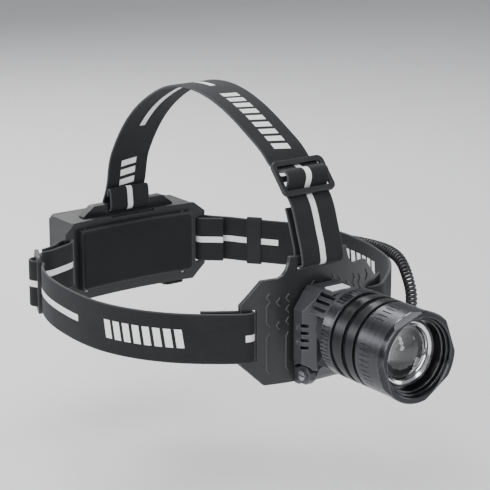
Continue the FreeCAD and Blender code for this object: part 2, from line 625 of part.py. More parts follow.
# notch at the top middle, where the crown strap passes down
carrier = carrier.cut(Part.makeBox(33.0, 40, 3.0, V(-16.5, 90, 24.2)))
for hx, hz in ((-38, 20), (38, 20), (-38, -21), (38, -21)):
    carrier = carrier.cut(Part.makeCylinder(1.3, 40, V(hx, 80, hz), V(0, 1, 0)))
node(feature("Carrier", carrier), "carrier_plate")

pad_base = shell_arc(CR - 3.8, CR, CC, -43.0, 43.0, -19.6, 20.4, True)
pad_skin = shell_arc(CR - 5.0, CR - 3.8, CC, -42.4, 42.4, -19.0, 19.8, True)
node(feature("PadBase", pad_base), "pad_frame")
node(feature("PadSkin", pad_skin), "head_pad")
sc = []
for hx, hz in ((-38, 20), (38, 20), (-38, -21), (38, -21)):
    yb = CC + math.sqrt((CR + CT) ** 2 - hx ** 2)
    sc.append(Part.makeCylinder(1.27, 5.5, V(hx, yb - CT + 0.45, hz), V(0, 1, 0)))
node(feature("CaseScrews", Part.makeCompound(sc)), "carrier_screws")

b = new_body("CaseBody")
s = sketch(b, "CaseOutline", "XZ_Plane", -S("caseback"))
rect(s, -S("casehalf"), S("casebase"), S("casehalf"), S("casetop"))
pad(b, s, 28.6)
s = sketch(b, "CaseCavity", "XZ_Plane", -S("caseback"))
rect(s, -S("casehalf") + S("casewall"), S("casebase") + S("casewall"), S("casehalf") - S("casewall"), S("casetop") - S("casewall"))
pocket(b, s, 22.7, "Cavity", rev=True)
# mouth of the charging socket in the floor
s = sketch(b, "PortMouth", "XY_Plane", S("casebase") - 0.5)
rect(s, 32.4 - S("portwide") / 2, 110.6 - S("portdeep") / 2, 32.4 + S("portwide") / 2, 110.6 + S("portdeep") / 2)
pocket(b, s, 3.4, "Port", rev=True)
# cable hole in the right wall
s = sketch(b, "CableHole", "YZ_Plane", 44.0)
circle(s, 116.0, -10.0, 2.4)
pocket(b, s, 4.0, "CableExit", rev=True)
doc.recompute()
# hinge lugs under the rear edge
lugs = []
for sx in (-1, 1):
    lug = Part.makeBox(6.0, 4.2, 4.6, V(sx * 33.0 - 3.0, 124.6, -31.6))
    lugs.append(lug.fuse(Part.makeCylinder(2.0, 6.0, V(sx * 33.0 - 3.0, 128.8, -29.6), V(1, 0, 0))).removeSplitter())
lug_f = feature("CaseLugs", lugs[0].fuse(lugs[1]))
case = fuse([b, lug_f], "CaseWithLugs")
CHY, CHZ = n("coverhingey"), n("coverhingez")
tools = [Part.makeCylinder(CR + CT, 80, V(0, CC, -40)),
         Part.makeCylinder(1.02, 90, V(-45, CHY - 1.6, CHZ + 0.6), V(1, 0, 0))]
for hx, hz in ((-38, 20), (38, 20), (-38, -21), (38, -21)):
    tools.append(Part.makeCylinder(1.3, 14, V(hx, 95, hz), V(0, 1, 0)))
case = cut(case, feature("CaseTools", Part.makeCompound(tools)), "BatteryCase")
node(case, "battery_case")

PX, PZ = CHY - 1.6, CHZ + 0.6     # the cover's hinge line: y, z
pins = [Part.makeCylinder(1.0, 20.4, V(sx * 38.2 - 10.2, PX, PZ), V(1, 0, 0)) for sx in (-1, 1)]
node(feature("CoverPins", Part.makeCompound(pins)), "cover_hinge_pins")

b = new_body("CoverBody")
s = sketch(b, "CoverPlate", "XZ_Plane", -131.2)
poly(s, [(-S("casehalf"), S("casebase") - 0.2), (S("casehalf"), S("casebase") - 0.2), (S("casehalf"), S("casetop") - 3.0), (S("casehalf") - 3.0, S("casetop")),
         (-S("casehalf") + 3.0, S("casetop")), (-S("casehalf"), S("casetop") - 3.0)])
pad(b, s, S("coverthick"), "Plate")
# lip that enters the case, open at its lower edge
s = sketch(b, "CoverLip", "XZ_Plane", -128.9)
poly(s, [(-44.2, -18.0), (-42.8, -18.0), (-42.8, 20.9), (42.8, 20.9), (42.8, -18.0), (44.2, -18.0), (44.2, 22.3), (-44.2, 22.3)])
pad(b, s, 1.7, "Lip")
# knuckles
s = sketch(b, "CoverKnuckle", "YZ_Plane", -45.5)
poly(s, [(131.2, -26.0), (131.2, -29.0), (130.4, -31.2), (128.0, -31.4), (126.8, -30.0), (127.2, -28.0), (128.85, -27.3), (128.85, -26.0)])
pad(b, s, 9.2, "KnuckleL")
s = sketch(b, "CoverKnuckle2", "YZ_Plane", 36.3)
poly(s, [(131.2, -26.0), (131.2, -29.0), (130.4, -31.2), (128.0, -31.4), (126.8, -30.0), (127.2, -28.0), (128.85, -27.3), (128.85, -26.0)])
pad(b, s, 9.2, "KnuckleR")
s = sketch(b, "KnucklePinHole", "YZ_Plane", -46.0)
circle(s, PX, PZ, 1.06)
pocket(b, s, 92.0, "PinHoles", rev=True)
doc.recompute()
relief_box = [Part.makeBox(7.0, 8.0, 5.4, V(sx * 33.0 - 3.5, 124.0, -32.2)) for sx in (-1, 1)]
node(cut(b, feature("LugRelief", Part.makeCompound(relief_box)), "BatteryCover"), "battery_cover")

for nm, zc, lab in (("CellA", 13.0, "battery_cell_upper"), ("CellB", -5.8, "battery_cell_lower")):
    c = doc.addObject("Part::Cylinder", nm)
    bind(c, "Radius", S("cellrad")); bind(c, "Height", S("celllen") - 1.2)
    c.Placement = FreeCAD.Placement(V(-32.6, n("celly"), zc), FreeCAD.Rotation(V(0, 1, 0), 90))
    c.setExpression("Placement.Base.y", "Sizes.celly")
    t = doc.addObject("Part::Cylinder", nm + "Tip")
    t.Radius = 2.7; t.Height = 1.6
    t.Placement = FreeCAD.Placement(V(31.0, n("celly"), zc), FreeCAD.Rotation(V(0, 1, 0), 90))
    t.setExpression("Placement.Base.y", "Sizes.celly")
    node(fuse([c, t], nm + "Whole"), lab)

# cell holder: end walls and a shelf between the cells
hold = Part.makeBox(2.0, 20.5, 42.0, V(-42.4, 106.0, -19.4)).fuse(Part.makeBox(2.0, 20.5, 42.0, V(40.4, 106.0, -19.4)))
hold = hold.fuse(Part.makeBox(84.8, 2.0, 2.0, V(-42.4, 106.0, 2.6)))
hold = hold.fuse(Part.makeBox(84.8, 20.5, 1.2, V(-42.4, 106.0, -18.6))).removeSplitter()
node(feature("CellHolder", hold), "cell_holder")

spr = []
for zc in (13.0, -5.8):
    spr.append(Part.makeCone(4.6, 3.0, 6.2, V(-39.2, n("celly"), zc), V(1, 0, 0)).cut(Part.makeCone(3.8, 2.2, 6.2, V(-39.2, n("celly"), zc), V(1, 0, 0))))
node(feature("ContactSprings", Part.makeCompound(spr)), "contact_springs")
cp = [Part.makeBox(0.8, 13.6, 34.0, V(-40.2, n("celly") - 6.8, -12.5)), Part.makeBox(0.8, 13.6, 34.0, V(39.5, n("celly") - 6.8, -12.5)),
      Part.makeCylinder(3.2, 6.7, V(32.7, n("celly"), 13.0), V(1, 0, 0)), Part.makeCylinder(3.2, 6.7, V(32.7, n("celly"), -5.8), V(1, 0, 0))]
node(feature("ContactPlates", Part.makeCompound([cp[0], cp[1].fuse([cp[2], cp[3]]).removeSplitter()])), "contact_plates")

b = new_body("ChargeBoardBody")
s = sketch(b, "BoardXY", "XY_Plane", -21.0)
rect(s, -30.0, 106.2, 42.0, 125.0)
pad(b, s, 1.2)
s = sketch(b, "BoardParts", "XY_Plane", -21.1)
rect(s, -20.0, 109.0, -12.0, 117.0, "i")
rect(s, 0.0, 110.0, 9.0, 116.0, "j")
pad(b, s, 2.0, "Chips", rev=True)
node(b, "charge_board")
port = Part.makeBox(8.9, 3.3, 3.6, V(32.4 - 4.45, 110.6 - 1.65, -24.7)).cut(Part.makeBox(8.3, 2.7, 3.0, V(32.4 - 4.15, 110.6 - 1.35, -24.8)))
port = port.fuse(Part.makeBox(6.4, 0.7, 2.6, V(32.4 - 3.2, 110.6 - 0.35, -24.0))).removeSplitter()
node(feature("ChargePort", port), "charge_port")

# rubber flap over the charging socket, hinged along its rear edge
FY, FZ = 118.6, -28.6
flap = Part.makeBox(15.0, 15.6, 2.0, V(24.9, 103.0, -29.4)).fuse(Part.makeCylinder(1.3, 15.0, V(24.9, FY, FZ), V(1, 0, 0))).removeSplitter()
flap = flap.cut(Part.makeCylinder(0.65, 20.0, V(22.0, FY, FZ), V(1, 0, 0)))
flap = flap.fuse(Part.makeBox(12.0, 1.6, 1.0, V(26.4, 101.6, -29.4))).removeSplitter()
node(feature("PortFlap", flap), "port_cover")
fl = []
for x0 in (22.6, 40.4):
    fl.append(Part.makeBox(2.0, 3.0, 3.1, V(x0, FY - 1.5, -30.1)))
hinge_part = fl[0].fuse([fl[1]]).cut(Part.makeCylinder(0.62, 30.0, V(20.0, FY, FZ), V(1, 0, 0)))
node(feature("FlapEars", hinge_part), "port_hinge_ears")
node(feature("FlapPin", Part.makeCylinder(0.6, 19.8, V(22.6, FY, FZ), V(1, 0, 0))), "port_hinge_pin")

# raised bar on the case's top that anchors the crown strap
bar = prism([(-34.5, 25.0), (34.5, 25.0), (34.5, 26.2), (27.0, 32.2), (-26.6, 32.2), (-34.5, 26.2)], "y", 107.2, 113.4)
bar = bar.cut(Part.makeBox(31.4, 20, 2.9, V(-15.7, 100, 26.0)))
node(feature("TopAnchor", bar), "strap_anchor_bar")

# ---------------------------------------------------------------------------
# Webbing
# ---------------------------------------------------------------------------
# left side strap: from the plate's left slot round to the rear-left slider
left_outer = [(-45.6, -91.4), (-50.0, -89.6), (-59.0, -83.8), (-68.0, -77.0), (-77.0, -69.0), (-85.0, -60.0), (-92.0, -49.6), (-98.0, -37.5), (-102.5, -23.0), (-104.6, -5.0),
              (-104.4, 10.0), (-103.2, 24.0), (-100.6, 39.0), (-96.6, 52.0), (-92.0, 61.2)]
SLA, SLB = (-92.6, 64.4), (-82.6, 85.9)     # rear-left slider: its two ends


def frame2(a, b):
    d = (b[0] - a[0], b[1] - a[1]); m = math.hypot(*d)
    d = (d[0] / m, d[1] / m)
    return d, m


def local(a, d, nrm, s, o):
    return (a[0] + d[0] * s + nrm[0] * o, a[1] + d[1] * s + nrm[1] * o)


dL, mL = frame2(SLA, SLB)
nL = (-dL[1], dL[0])        # away from the head
left_weave = [local(SLA, dL, nL, s0, o0) for s0, o0 in ((2.0, -2.6), (6.6, 0.3), (9.2, 4.0), (12.0, 4.9), (14.8, 4.0), (17.0, 0.3), (19.2, -2.3), (22.6, -2.7))]
left_rear = [(-77.6, 86.4), (-72.5, 87.2), (-63.0, 90.2), (-54.5, 93.6)]
node(feature("StrapLeft", web(left_outer + left_weave[:1], T, "z", -W, W)), "strap_left")
lw = smooth([local(SLA, dL, nL, 2.4, -2.6)] + left_weave[1:] + left_rear + [(-50.2, 97.0), (-49.6, 99.2), (-50.6, 102.2), (-54.5, 102.6), (-61.0, 98.2), (-68.0, 94.4), (-74.0, 92.6)], 1.8)
node(feature("StrapLeftRear", web(lw, T, "z", -W, W, raw=True)), "strap_left_rear")


def fold_web(pts, axis, name, label, step=1.8):
    node(feature(name, web(smooth(pts, step), T, axis, -W, W, raw=True)), label)


# sewn end of the left strap, through the plate's slot and back behind it
fold_web([(-45.25, -91.5), (-42.8, -91.0), (-41.4, -88.8), (-42.6, -86.4), (-47.0, -84.2), (-53.0, -80.6), (-60.0, -76.2), (-66.0, -71.8)], "z", "StrapLeftEnd", "strap_left_end")
fold_web([(46.6, -91.3), (42.8, -91.0), (41.4, -88.8), (42.6, -86.4), (47.0, -84.2), (53.0, -80.6), (60.0, -76.2), (66.0, -71.8)], "z", "StrapRightEnd", "strap_right_end")

right_outer = [(47.0, -91.2), (52.0, -90.2), (58.0, -86.0), (66.0, -79.2), (74.0, -72.4), (83.0, -62.6), (91.0, -51.0), (97.0, -36.0), (101.6, -20.0), (104.0, -6.0), (105.0, 5.0),
               (105.0, 15.0), (102.6, 31.0), (97.4, 44.0), (88.6, 57.0), (81.0, 67.6), (73.0, 77.6), (65.0, 85.4), (57.0, 91.2)]
node(feature("StrapRight", web(right_outer, T, "z", -W, W)), "strap_right")
fold_web([(56.7, 91.5), (53.0, 94.2), (50.2, 97.0), (49.6, 99.2), (50.6, 102.2), (54.5, 102.6), (60.0, 96.8), (65.2, 91.2), (71.0, 85.6)], "z", "StrapRightRear", "strap_right_rear")

# keeper band round the right strap's doubled part
kd = 0.8
kmid = (77.6, 72.2); kd_dir = (-0.63, 0.777); kn_dir = (0.777, 0.63)
def kp(s0, o0):
    return (kmid[0] + kd_dir[0] * s0 + kn_dir[0] * o0, kmid[1] + kd_dir[1] * s0 + kn_dir[1] * o0)
keep = prism([kp(-5, -2.0), kp(5, -2.0), kp(5, 2.0), kp(-5, 2.0)], "z", -16.4, 16.4).cut(
       prism([kp(-6, -1.15), kp(6, -1.15), kp(6, 1.15), kp(-6, 1.15)], "z", -15.25, 15.25))
node(feature("Keeper", keep), "keeper_band")

# crown strap in the YZ plane
crown = [(110.75, 41.95), (109.2, 47.0), (108.0, 53.0), (105.4, 62.5), (100.6, 71.4), (90.2, 84.9), (78.4, 97.6), (64.6, 106.9), (54.8, 113.8), (41.8, 119.8), (27.9, 123.3), (13.0, 124.3), (-4.0, 122.4), (-18.8, 118.4),
         (-33.6, 112.5), (-49.5, 104.6), (-64.5, 95.4), (-70.6, 91.6)]
STA, STB = (-73.1, 94.8), (-88.6, 77.8)
dT, mT = frame2(STA, STB)
nT = (dT[1], -dT[0])        # away from the head: towards -y, +z
crown_weave = [local(STA, dT, nT, s0, o0) for s0, o0 in ((2.0, -2.6), (6.4, 0.2), (8.8, 4.0), (11.6, 5.2), (14.2, 4.3), (16.8, 0.2), (19.0, -2.5), (22.4, -2.8))]
node(feature("StrapCrown", web(crown + crown_weave[:1], T, "x", -W, W)), "strap_crown")
low = [local(STA, dT, nT, 2.4, -2.6)] + crown_weave[1:] + [(-91.4, 68.0), (-95.4, 57.0), (-98.7, 47.6), (-99.7, 43.0), (-99.8, 39.8), (-96.8, 38.2), (-93.6, 39.6), (-93.0, 43.2), (-91.0, 51.0), (-87.4, 61.0), (-83.6, 70.0)]
fold_web(low, "x", "StrapCrownFront", "strap_crown_front")
# sewn rear end of the crown strap, round the anchor bar
rear = [(110.9, 41.6), (113.2, 36.4), (115.0, 32.6), (115.1, 29.2), (113.6, 27.45), (110.4, 27.4), (107.4, 27.4), (105.7, 28.9), (105.5, 32.6), (106.6, 36.6), (108.2, 41.6)]
fold_web(rear, "x", "StrapCrownRear", "strap_crown_rear", 1.4)


def slider(a, d, nrm, length, axis, name, label):
    """Three-bar webbing slider lying in the plane of d and the strap's width."""
    hw = 18.6
    t = 2.6
    def quad(s0, s1, o0, o1):
        return [local(a, d, nrm, s0, o0), local(a, d, nrm, s1, o0), local(a, d, nrm, s1, o1), local(a, d, nrm, s0, o1)]
    sol = prism(quad(0, length, -t / 2, t / 2), axis, -hw, hw)
    for s0, s1 in ((3.6, length / 2 - 1.7), (length / 2 + 1.7, length - 3.6)):
        sol = sol.cut(prism(quad(s0, s1, -t, t), axis, -W - 0.5, W + 0.5))
    corner = []
    node(feature(name, sol), label)


slider(SLA, dL, nL, mL, "z", "SliderLeft", "slider_left")
slider(STA, dT, nT, mT, "x", "SliderTop", "slider_crown")

# ---------------------------------------------------------------------------
# Coiled cable: one fat tube of the coil's outer diameter, in straight runs
# joined by tangent arcs, and the strain reliefs it leaves from
# ---------------------------------------------------------------------------
ROUTE = [
    (53.5, 116.0, -10.0), (64.0, 116.0, -10.0), (77.0, 107.5, -8.0), (88.5, 93.0, -4.5), (98.0, 75.5, -1.0), (105.6, 55.5, 2.5),
    (110.6, 34.5, 5.5), (112.2, 12.5, 8.0), (111.4, -9.5, 10.5), (108.0, -30.5, 12.5), (102.6, -49.0, 12.0), (96.4, -63.5, 5.5),
    (90.0, -76.0, -4.5), (80.0, -85.0, -15.0), (66.5, -92.0, -22.5), (51.0, -97.0, -26.0), (38.0, -98.6, -26.3),
]
CRAD = n("cablerad")


def cord(route, rad):
    P = [V(*p) for p in route]
    m = len(P)
    start = P[0]
    edges, radii = [], []
    cur = P[0]
    for i in range(1, m - 1):
        a, b, c = P[i - 1], P[i], P[i + 1]
        u = (b - a); v = (c - b)
        lu, lv = u.Length, v.Length
        u = u / lu; v = v / lv
        turn = u.getAngle(v)
        run = min(lu, lv)
        t = 0.45 * run
        r = t / math.tan(turn / 2)
        radii.append(r)
        p1 = b - u * t
        p2 = b + v * t
        bis = (v - u); bis = bis / bis.Length
        cen = b + bis * (r / math.cos(turn / 2))
        mid = cen - bis * r
        edges.append(Part.LineSegment(cur, p1).toShape())
        edges.append(Part.Arc(p1, mid, p2).toShape())
        cur = p2
    edges.append(Part.LineSegment(cur, P[-1]).toShape())
    wire = Part.Wire(edges)
    d = (P[1] - P[0])
    disc = Part.Wire([Part.Circle(P[0], d, rad).toShape()])
    tube = wire.makePipeShell([disc], True, False)
    want = math.pi * rad * rad * wire.Length
    print("cord length %.1f mm, radii %s, smallest %.1f, volume ratio %.4f" % (
        wire.Length, [round(r) for r in radii], min(radii), tube.Volume / want))
    return tube, wire


tube, path = cord(ROUTE, CRAD)
node(feature("CoiledCable", tube), "coiled_cable")
g = Part.makeCone(4.2, 3.4, 6.6, V(46.9, 116.0, -10.0), V(1, 0, 0)).fuse(Part.makeCylinder(2.3, 2.3, V(44.6, 116.0, -10.0), V(1, 0, 0))).removeSplitter()
node(feature("GlandRear", g), "cable_gland_rear")
d = V(38.0 - 51.0, -98.6 + 97.0, -0.3); d = d / d.Length
g = Part.makeCone(3.4, 4.2, 8.2, V(38.0, -98.6, -26.3), d)
g = g.common(Part.makeBox(20, 20, 20, V(30.02, -108, -36)))
node(feature("GlandFront", g), "cable_gland_front")

# ---------------------------------------------------------------------------
doc.recompute()
bad = []
for o in doc.Objects:
    if any(st in ("Invalid", "Error") for st in o.State):
        bad.append("%s (%s): %s" % (o.Label, o.TypeId, o.State))
for label, obj in NODES:
    sh = obj.Shape
    if sh.isNull() or not sh.isValid() or sh.Volume <= 0 or len(sh.Solids) == 0:
        bad.append("%s: shape not usable" % label)
if bad:
    raise RuntimeError("; ".join(bad))
if len(set(l for l, _ in NODES)) != len(NODES) or len(NODES) > 60:
    raise RuntimeError("node names")
for old in os.listdir("parts"):
    if old.endswith(".step"):
        os.remove(os.path.join("parts", old))
for label, obj in NODES:
    obj.Shape.exportStep("parts/%s.step" % label)
print("%d nodes" % len(NODES))
for label, obj in NODES:
    bb = obj.Shape.BoundBox
    print("%-24s solids %d vol %9.1f  x %.1f..%.1f y %.1f..%.1f z %.1f..%.1f" % (label, len(obj.Shape.Solids), obj.Shape.Volume, bb.XMin, bb.XMax, bb.YMin, bb.YMax, bb.ZMin, bb.ZMax))
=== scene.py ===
import math

import bmesh
import bpy
import numpy as np
from mathutils import Matrix, Vector


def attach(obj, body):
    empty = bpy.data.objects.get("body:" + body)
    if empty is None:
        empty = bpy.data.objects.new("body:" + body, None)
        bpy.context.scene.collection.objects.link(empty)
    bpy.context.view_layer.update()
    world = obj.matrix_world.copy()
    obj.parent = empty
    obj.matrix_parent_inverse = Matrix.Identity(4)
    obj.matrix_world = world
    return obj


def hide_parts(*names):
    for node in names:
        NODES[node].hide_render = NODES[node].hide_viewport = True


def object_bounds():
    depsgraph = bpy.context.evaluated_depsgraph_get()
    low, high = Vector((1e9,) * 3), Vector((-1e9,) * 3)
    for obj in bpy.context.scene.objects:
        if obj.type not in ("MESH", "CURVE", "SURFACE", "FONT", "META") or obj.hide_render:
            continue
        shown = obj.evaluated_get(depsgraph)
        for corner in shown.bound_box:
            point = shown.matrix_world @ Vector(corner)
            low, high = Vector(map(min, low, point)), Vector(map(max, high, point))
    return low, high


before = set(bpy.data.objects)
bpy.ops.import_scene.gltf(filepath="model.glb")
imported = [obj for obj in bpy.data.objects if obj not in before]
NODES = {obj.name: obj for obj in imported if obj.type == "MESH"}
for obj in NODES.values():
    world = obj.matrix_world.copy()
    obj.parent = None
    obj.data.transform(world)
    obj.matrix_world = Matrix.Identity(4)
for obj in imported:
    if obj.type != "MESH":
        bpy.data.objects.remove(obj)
lo0, hi0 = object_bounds()
MM = 0.001
scene = bpy.context.scene
coll = scene.collection


def link(name, data):
    o = bpy.data.objects.new(name, data)
    coll.objects.link(o)
    return o


# ---------------------------------------------------------------------------
# Camera
# ---------------------------------------------------------------------------
AZ, EL = math.radians(-35.919), math.radians(15.887)
cam_right = Vector((math.cos(AZ), math.sin(AZ), 0))
cam_back = Vector((math.sin(AZ) * math.cos(EL), -math.cos(AZ) * math.cos(EL), math.sin(EL)))
cam_up = cam_back.cross(cam_right)
cam_at = cam_back * 1.14979 + cam_right * 0.014204 + cam_up * 0.025462
cam = bpy.data.cameras.new("Camera")
cam.lens, cam.sensor_width = 136.15, 36
cam_o = link("Camera", cam)
cam_o.matrix_world = Matrix(((cam_right.x, cam_up.x, cam_back.x, cam_at.x), (cam_right.y, cam_up.y, cam_back.y, cam_at.y),
                             (cam_right.z, cam_up.z, cam_back.z, cam_at.z), (0, 0, 0, 1)))
scene.camera = cam_o

# ---------------------------------------------------------------------------
# Coiled cable: one helix along the route's own smooth line
# ---------------------------------------------------------------------------
ROUTE = [
    (53.5, 116.0, -10.0), (64.0, 116.0, -10.0), (77.0, 107.5, -8.0), (88.5, 93.0, -4.5), (98.0, 75.5, -1.0), (105.6, 55.5, 2.5),
    (110.6, 34.5, 5.5), (112.2, 12.5, 8.0), (111.4, -9.5, 10.5), (108.0, -30.5, 12.5), (102.6, -49.0, 12.0), (96.4, -63.5, 5.5),
    (90.0, -76.0, -4.5), (80.0, -85.0, -15.0), (66.5, -92.0, -22.5), (51.0, -97.0, -26.0), (38.0, -98.6, -26.3),
]


def nurbs(name, pts, res=6):
    """A NURBS curve of order 3 through its own end points; pts in metres."""
    cu = bpy.data.curves.new(name, "CURVE")
    cu.dimensions = "3D"
    sp = cu.splines.new("NURBS")
    sp.points.add(len(pts) - 1)
    for p, q in zip(sp.points, pts):
        p.co = (q[0], q[1], q[2], 1)
    sp.order_u = 3
    sp.use_endpoint_u = True
    sp.resolution_u = res
    return link(name, cu)


def read_line(o):
    me = bpy.data.meshes.new_from_object(o)
    pts = np.array([v.co[:] for v in me.vertices])
    bpy.data.meshes.remove(me)
    return pts


def along(pts, step):
    """Even points along a polyline."""
    s = np.concatenate([[0], np.cumsum(np.linalg.norm(np.diff(pts, axis=0), axis=1))])
    t = np.linspace(0, s[-1], max(4, int(round(s[-1] / step)) + 1))
    return np.stack([np.interp(t, s, pts[:, k]) for k in range(3)], 1), t


WIRE = 0.0018
COIL_R = 0.00285
PITCH = 0.0031
guide = nurbs("route_guide", [tuple(c * MM for c in q) for q in ROUTE], 24)
base = read_line(guide)
bpy.data.objects.remove(guide)
PER_TURN = 14
line, arc = along(base, PITCH / PER_TURN)
tan = np.gradient(line, axis=0)
tan /= np.linalg.norm(tan, axis=1)[:, None]
side = np.zeros_like(tan)
ref = np.cross(tan[0], (0.0, 0.0, 1.0))
ref /= np.linalg.norm(ref)
for i, t in enumerate(tan):
    ref = ref - t * np.dot(ref, t)
    ref /= np.linalg.norm(ref)
    side[i] = ref
other = np.cross(tan, side)
total = arc[-1]


def ease(x):
    x = np.clip(x, 0, 1)
    return x * x * (3 - 2 * x)


grow = ease((arc - 0.003) / 0.011) * ease((total - 0.004 - arc) / 0.011)
ang = 2 * math.pi * arc / PITCH
rr = COIL_R / math.cos(math.pi / PER_TURN) * grow
helix = line + side * (rr * np.cos(ang))[:, None] + other * (rr * np.sin(ang))[:, None]
cable = nurbs("coiled_cable_helix", [tuple(p) for p in helix], 3)
bare = read_line(cable)
for q in cable.data.splines[0].points:
    q.radius = 0.001                    # the tube's own box grows with this number
cable.data.bevel_depth = WIRE / 2 / 0.001
cable.data.bevel_resolution = 4
cable.data.use_fill_caps = True
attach(cable, "frame")
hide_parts("coiled_cable")


# ---------------------------------------------------------------------------
# Materials
# ---------------------------------------------------------------------------
class Mat:
    """A Principled material with short helpers for its node tree."""

    def __init__(self, name, base=(0.1, 0.1, 0.1), rough=0.5, **sockets):
        self.m = bpy.data.materials.new(name)
        self.m.use_nodes = True
        self.t = self.m.node_tree
        self.t.nodes.clear()
        out = self.t.nodes.new("ShaderNodeOutputMaterial")
        self.b = self.t.nodes.new("ShaderNodeBsdfPrincipled")
        self.t.links.new(self.b.outputs[0], out.inputs[0])
        self.b.inputs["Base Color"].default_value = (*base, 1)
        self.b.inputs["Roughness"].default_value = rough
        self.m.diffuse_color = (*base, 1)
        for k, v in sockets.items():
            self.b.inputs[k.replace("_", " ")].default_value = v
        self._obj = None

    def n(self, kind, **attr):
        x = self.t.nodes.new(kind)
        for k, v in attr.items():
            setattr(x, k, v)
        return x

    def put(self, sock, v):
        if isinstance(v, bpy.types.NodeSocket):
            self.t.links.new(v, sock)
        elif v is not None:
            sock.default_value = v

    def obj(self):
        if self._obj is None:
            self._obj = self.n("ShaderNodeTexCoord").outputs["Object"]
        return self._obj

    def math(self, op, a, b=None, c=None, clamp=False):
        x = self.n("ShaderNodeMath", operation=op, use_clamp=clamp)
        self.put(x.inputs[0], a)
        self.put(x.inputs[1], b)
        self.put(x.inputs[2], c)
        return x.outputs[0]

    def noise(self, scale, detail=2.0, rough=0.5, vec=None, dist=0.0):
        x = self.n("ShaderNodeTexNoise")
        self.put(x.inputs["Vector"], vec if vec is not None else self.obj())
        x.inputs["Scale"].default_value = scale
        x.inputs["Detail"].default_value = detail
        x.inputs["Roughness"].default_value = rough
        x.inputs["Distortion"].default_value = dist
        return x.outputs[0]

    def noise1(self, w, scale, detail=2.0):
        x = self.n("ShaderNodeTexNoise", noise_dimensions="1D")
        self.put(x.inputs["W"], w)
        x.inputs["Scale"].default_value = scale
        x.inputs["Detail"].default_value = detail
        return x.outputs[0]

    def xyz(self, vec=None):
        x = self.n("ShaderNodeSeparateXYZ")
        self.put(x.inputs[0], vec if vec is not None else self.obj())
        return x.outputs

    def span(self, v, a, b, c, d, clamp=True):
        x = self.n("ShaderNodeMapRange", clamp=clamp)
        self.put(x.inputs[0], v)
        for i, k in enumerate((a, b, c, d)):
            x.inputs[i + 1].default_value = k
        return x.outputs[0]

    def mix(self, f, a, b):
        x = self.n("ShaderNodeMix", data_type="RGBA")
        self.put(x.inputs[0], f)
        for i, v in ((6, a), (7, b)):
            self.put(x.inputs[i], (*v, 1) if isinstance(v, tuple) and len(v) == 3 else v)
        return x.outputs[2]

    def color(self, v):
        self.put(self.b.inputs["Base Color"], v)

    def rough(self, v):
        self.put(self.b.inputs["Roughness"], v)

    def bump(self, height, strength=0.3, dist=0.0001, normal=None):
        x = self.n("ShaderNodeBump")
        x.inputs["Strength"].default_value = strength
        x.inputs["Distance"].default_value = dist
        self.put(x.inputs["Height"], height)
        self.put(x.inputs["Normal"], normal)
        return x.outputs[0]

    def normal(self, v):
        self.put(self.b.inputs["Normal"], v)

    def painted_recess_shade(self, dist):
        """Painted shade mask: 1 in the open, towards 0 down in grooves and slots of this piece, where the colour is
        darkened as if shaded.
        """
        x = self.n("ShaderNodeAmbientOcclusion", samples=6, only_local=True)
        x.inputs["Distance"].default_value = dist
        return self.span(x.outputs["AO"], 0.35, 0.92, 0.0, 1.0)

    def edge(self, radius):
        """0 on flats, towards 1 on outer and inner edges."""
        bv = self.n("ShaderNodeBevel", samples=4)
        bv.inputs["Radius"].default_value = radius
        g = self.n("ShaderNodeNewGeometry")
        d = self.n("ShaderNodeVectorMath", operation="DOT_PRODUCT")
        self.put(d.inputs[0], bv.outputs[0])
        self.put(d.inputs[1], g.outputs["Normal"])
        return self.span(d.outputs["Value"], 0.995, 0.80, 0.0, 1.0), bv.outputs[0]


def moulded(name, base, rough, grain=2600.0, depth=0.00006, edge=0.0004, lift=1.7, coat=0.0, spec=0.5, rim=(0.25, 0.9), deep=0.0015):
    """Injection-moulded plastic: fine spark texture, rounded edges lightened in patches as a painted edge highlight
    (also standing for slight wear), and painted shade in recesses.
    """
    m = Mat(name, base, rough, Coat_Weight=coat, Coat_Roughness=0.18, Specular_IOR_Level=spec)
    e, bn = m.edge(edge)
    patch = m.span(m.noise(55, 3, 0.6), 0.3, 0.75, 0.0, 1.0)
    # painted edge highlight colour: edges lightened as if catching light, also standing for slight wear
    worn_highlight_col = tuple(min(1, c * lift + 0.02) for c in base)
    soft = tuple(c * 1.25 for c in base)
    c = m.mix(patch, base, soft)
    c = m.mix(m.math("MULTIPLY", e, m.span(m.noise(260, 2), 0.35, 0.7, *rim)), c, worn_highlight_col)
    # painted shade: colour darkened down in grooves and slots
    m.color(m.mix(m.painted_recess_shade(deep), tuple(k * 0.35 for k in base), c))
    grains = m.noise(grain, 2, 0.6)
    m.rough(m.math("ADD", m.span(patch, 0, 1, rough - 0.05, rough + 0.06), m.span(grains, 0.3, 0.7, -0.05, 0.05)))
    m.normal(m.bump(grains, 0.45, depth, bn))
    return m.m


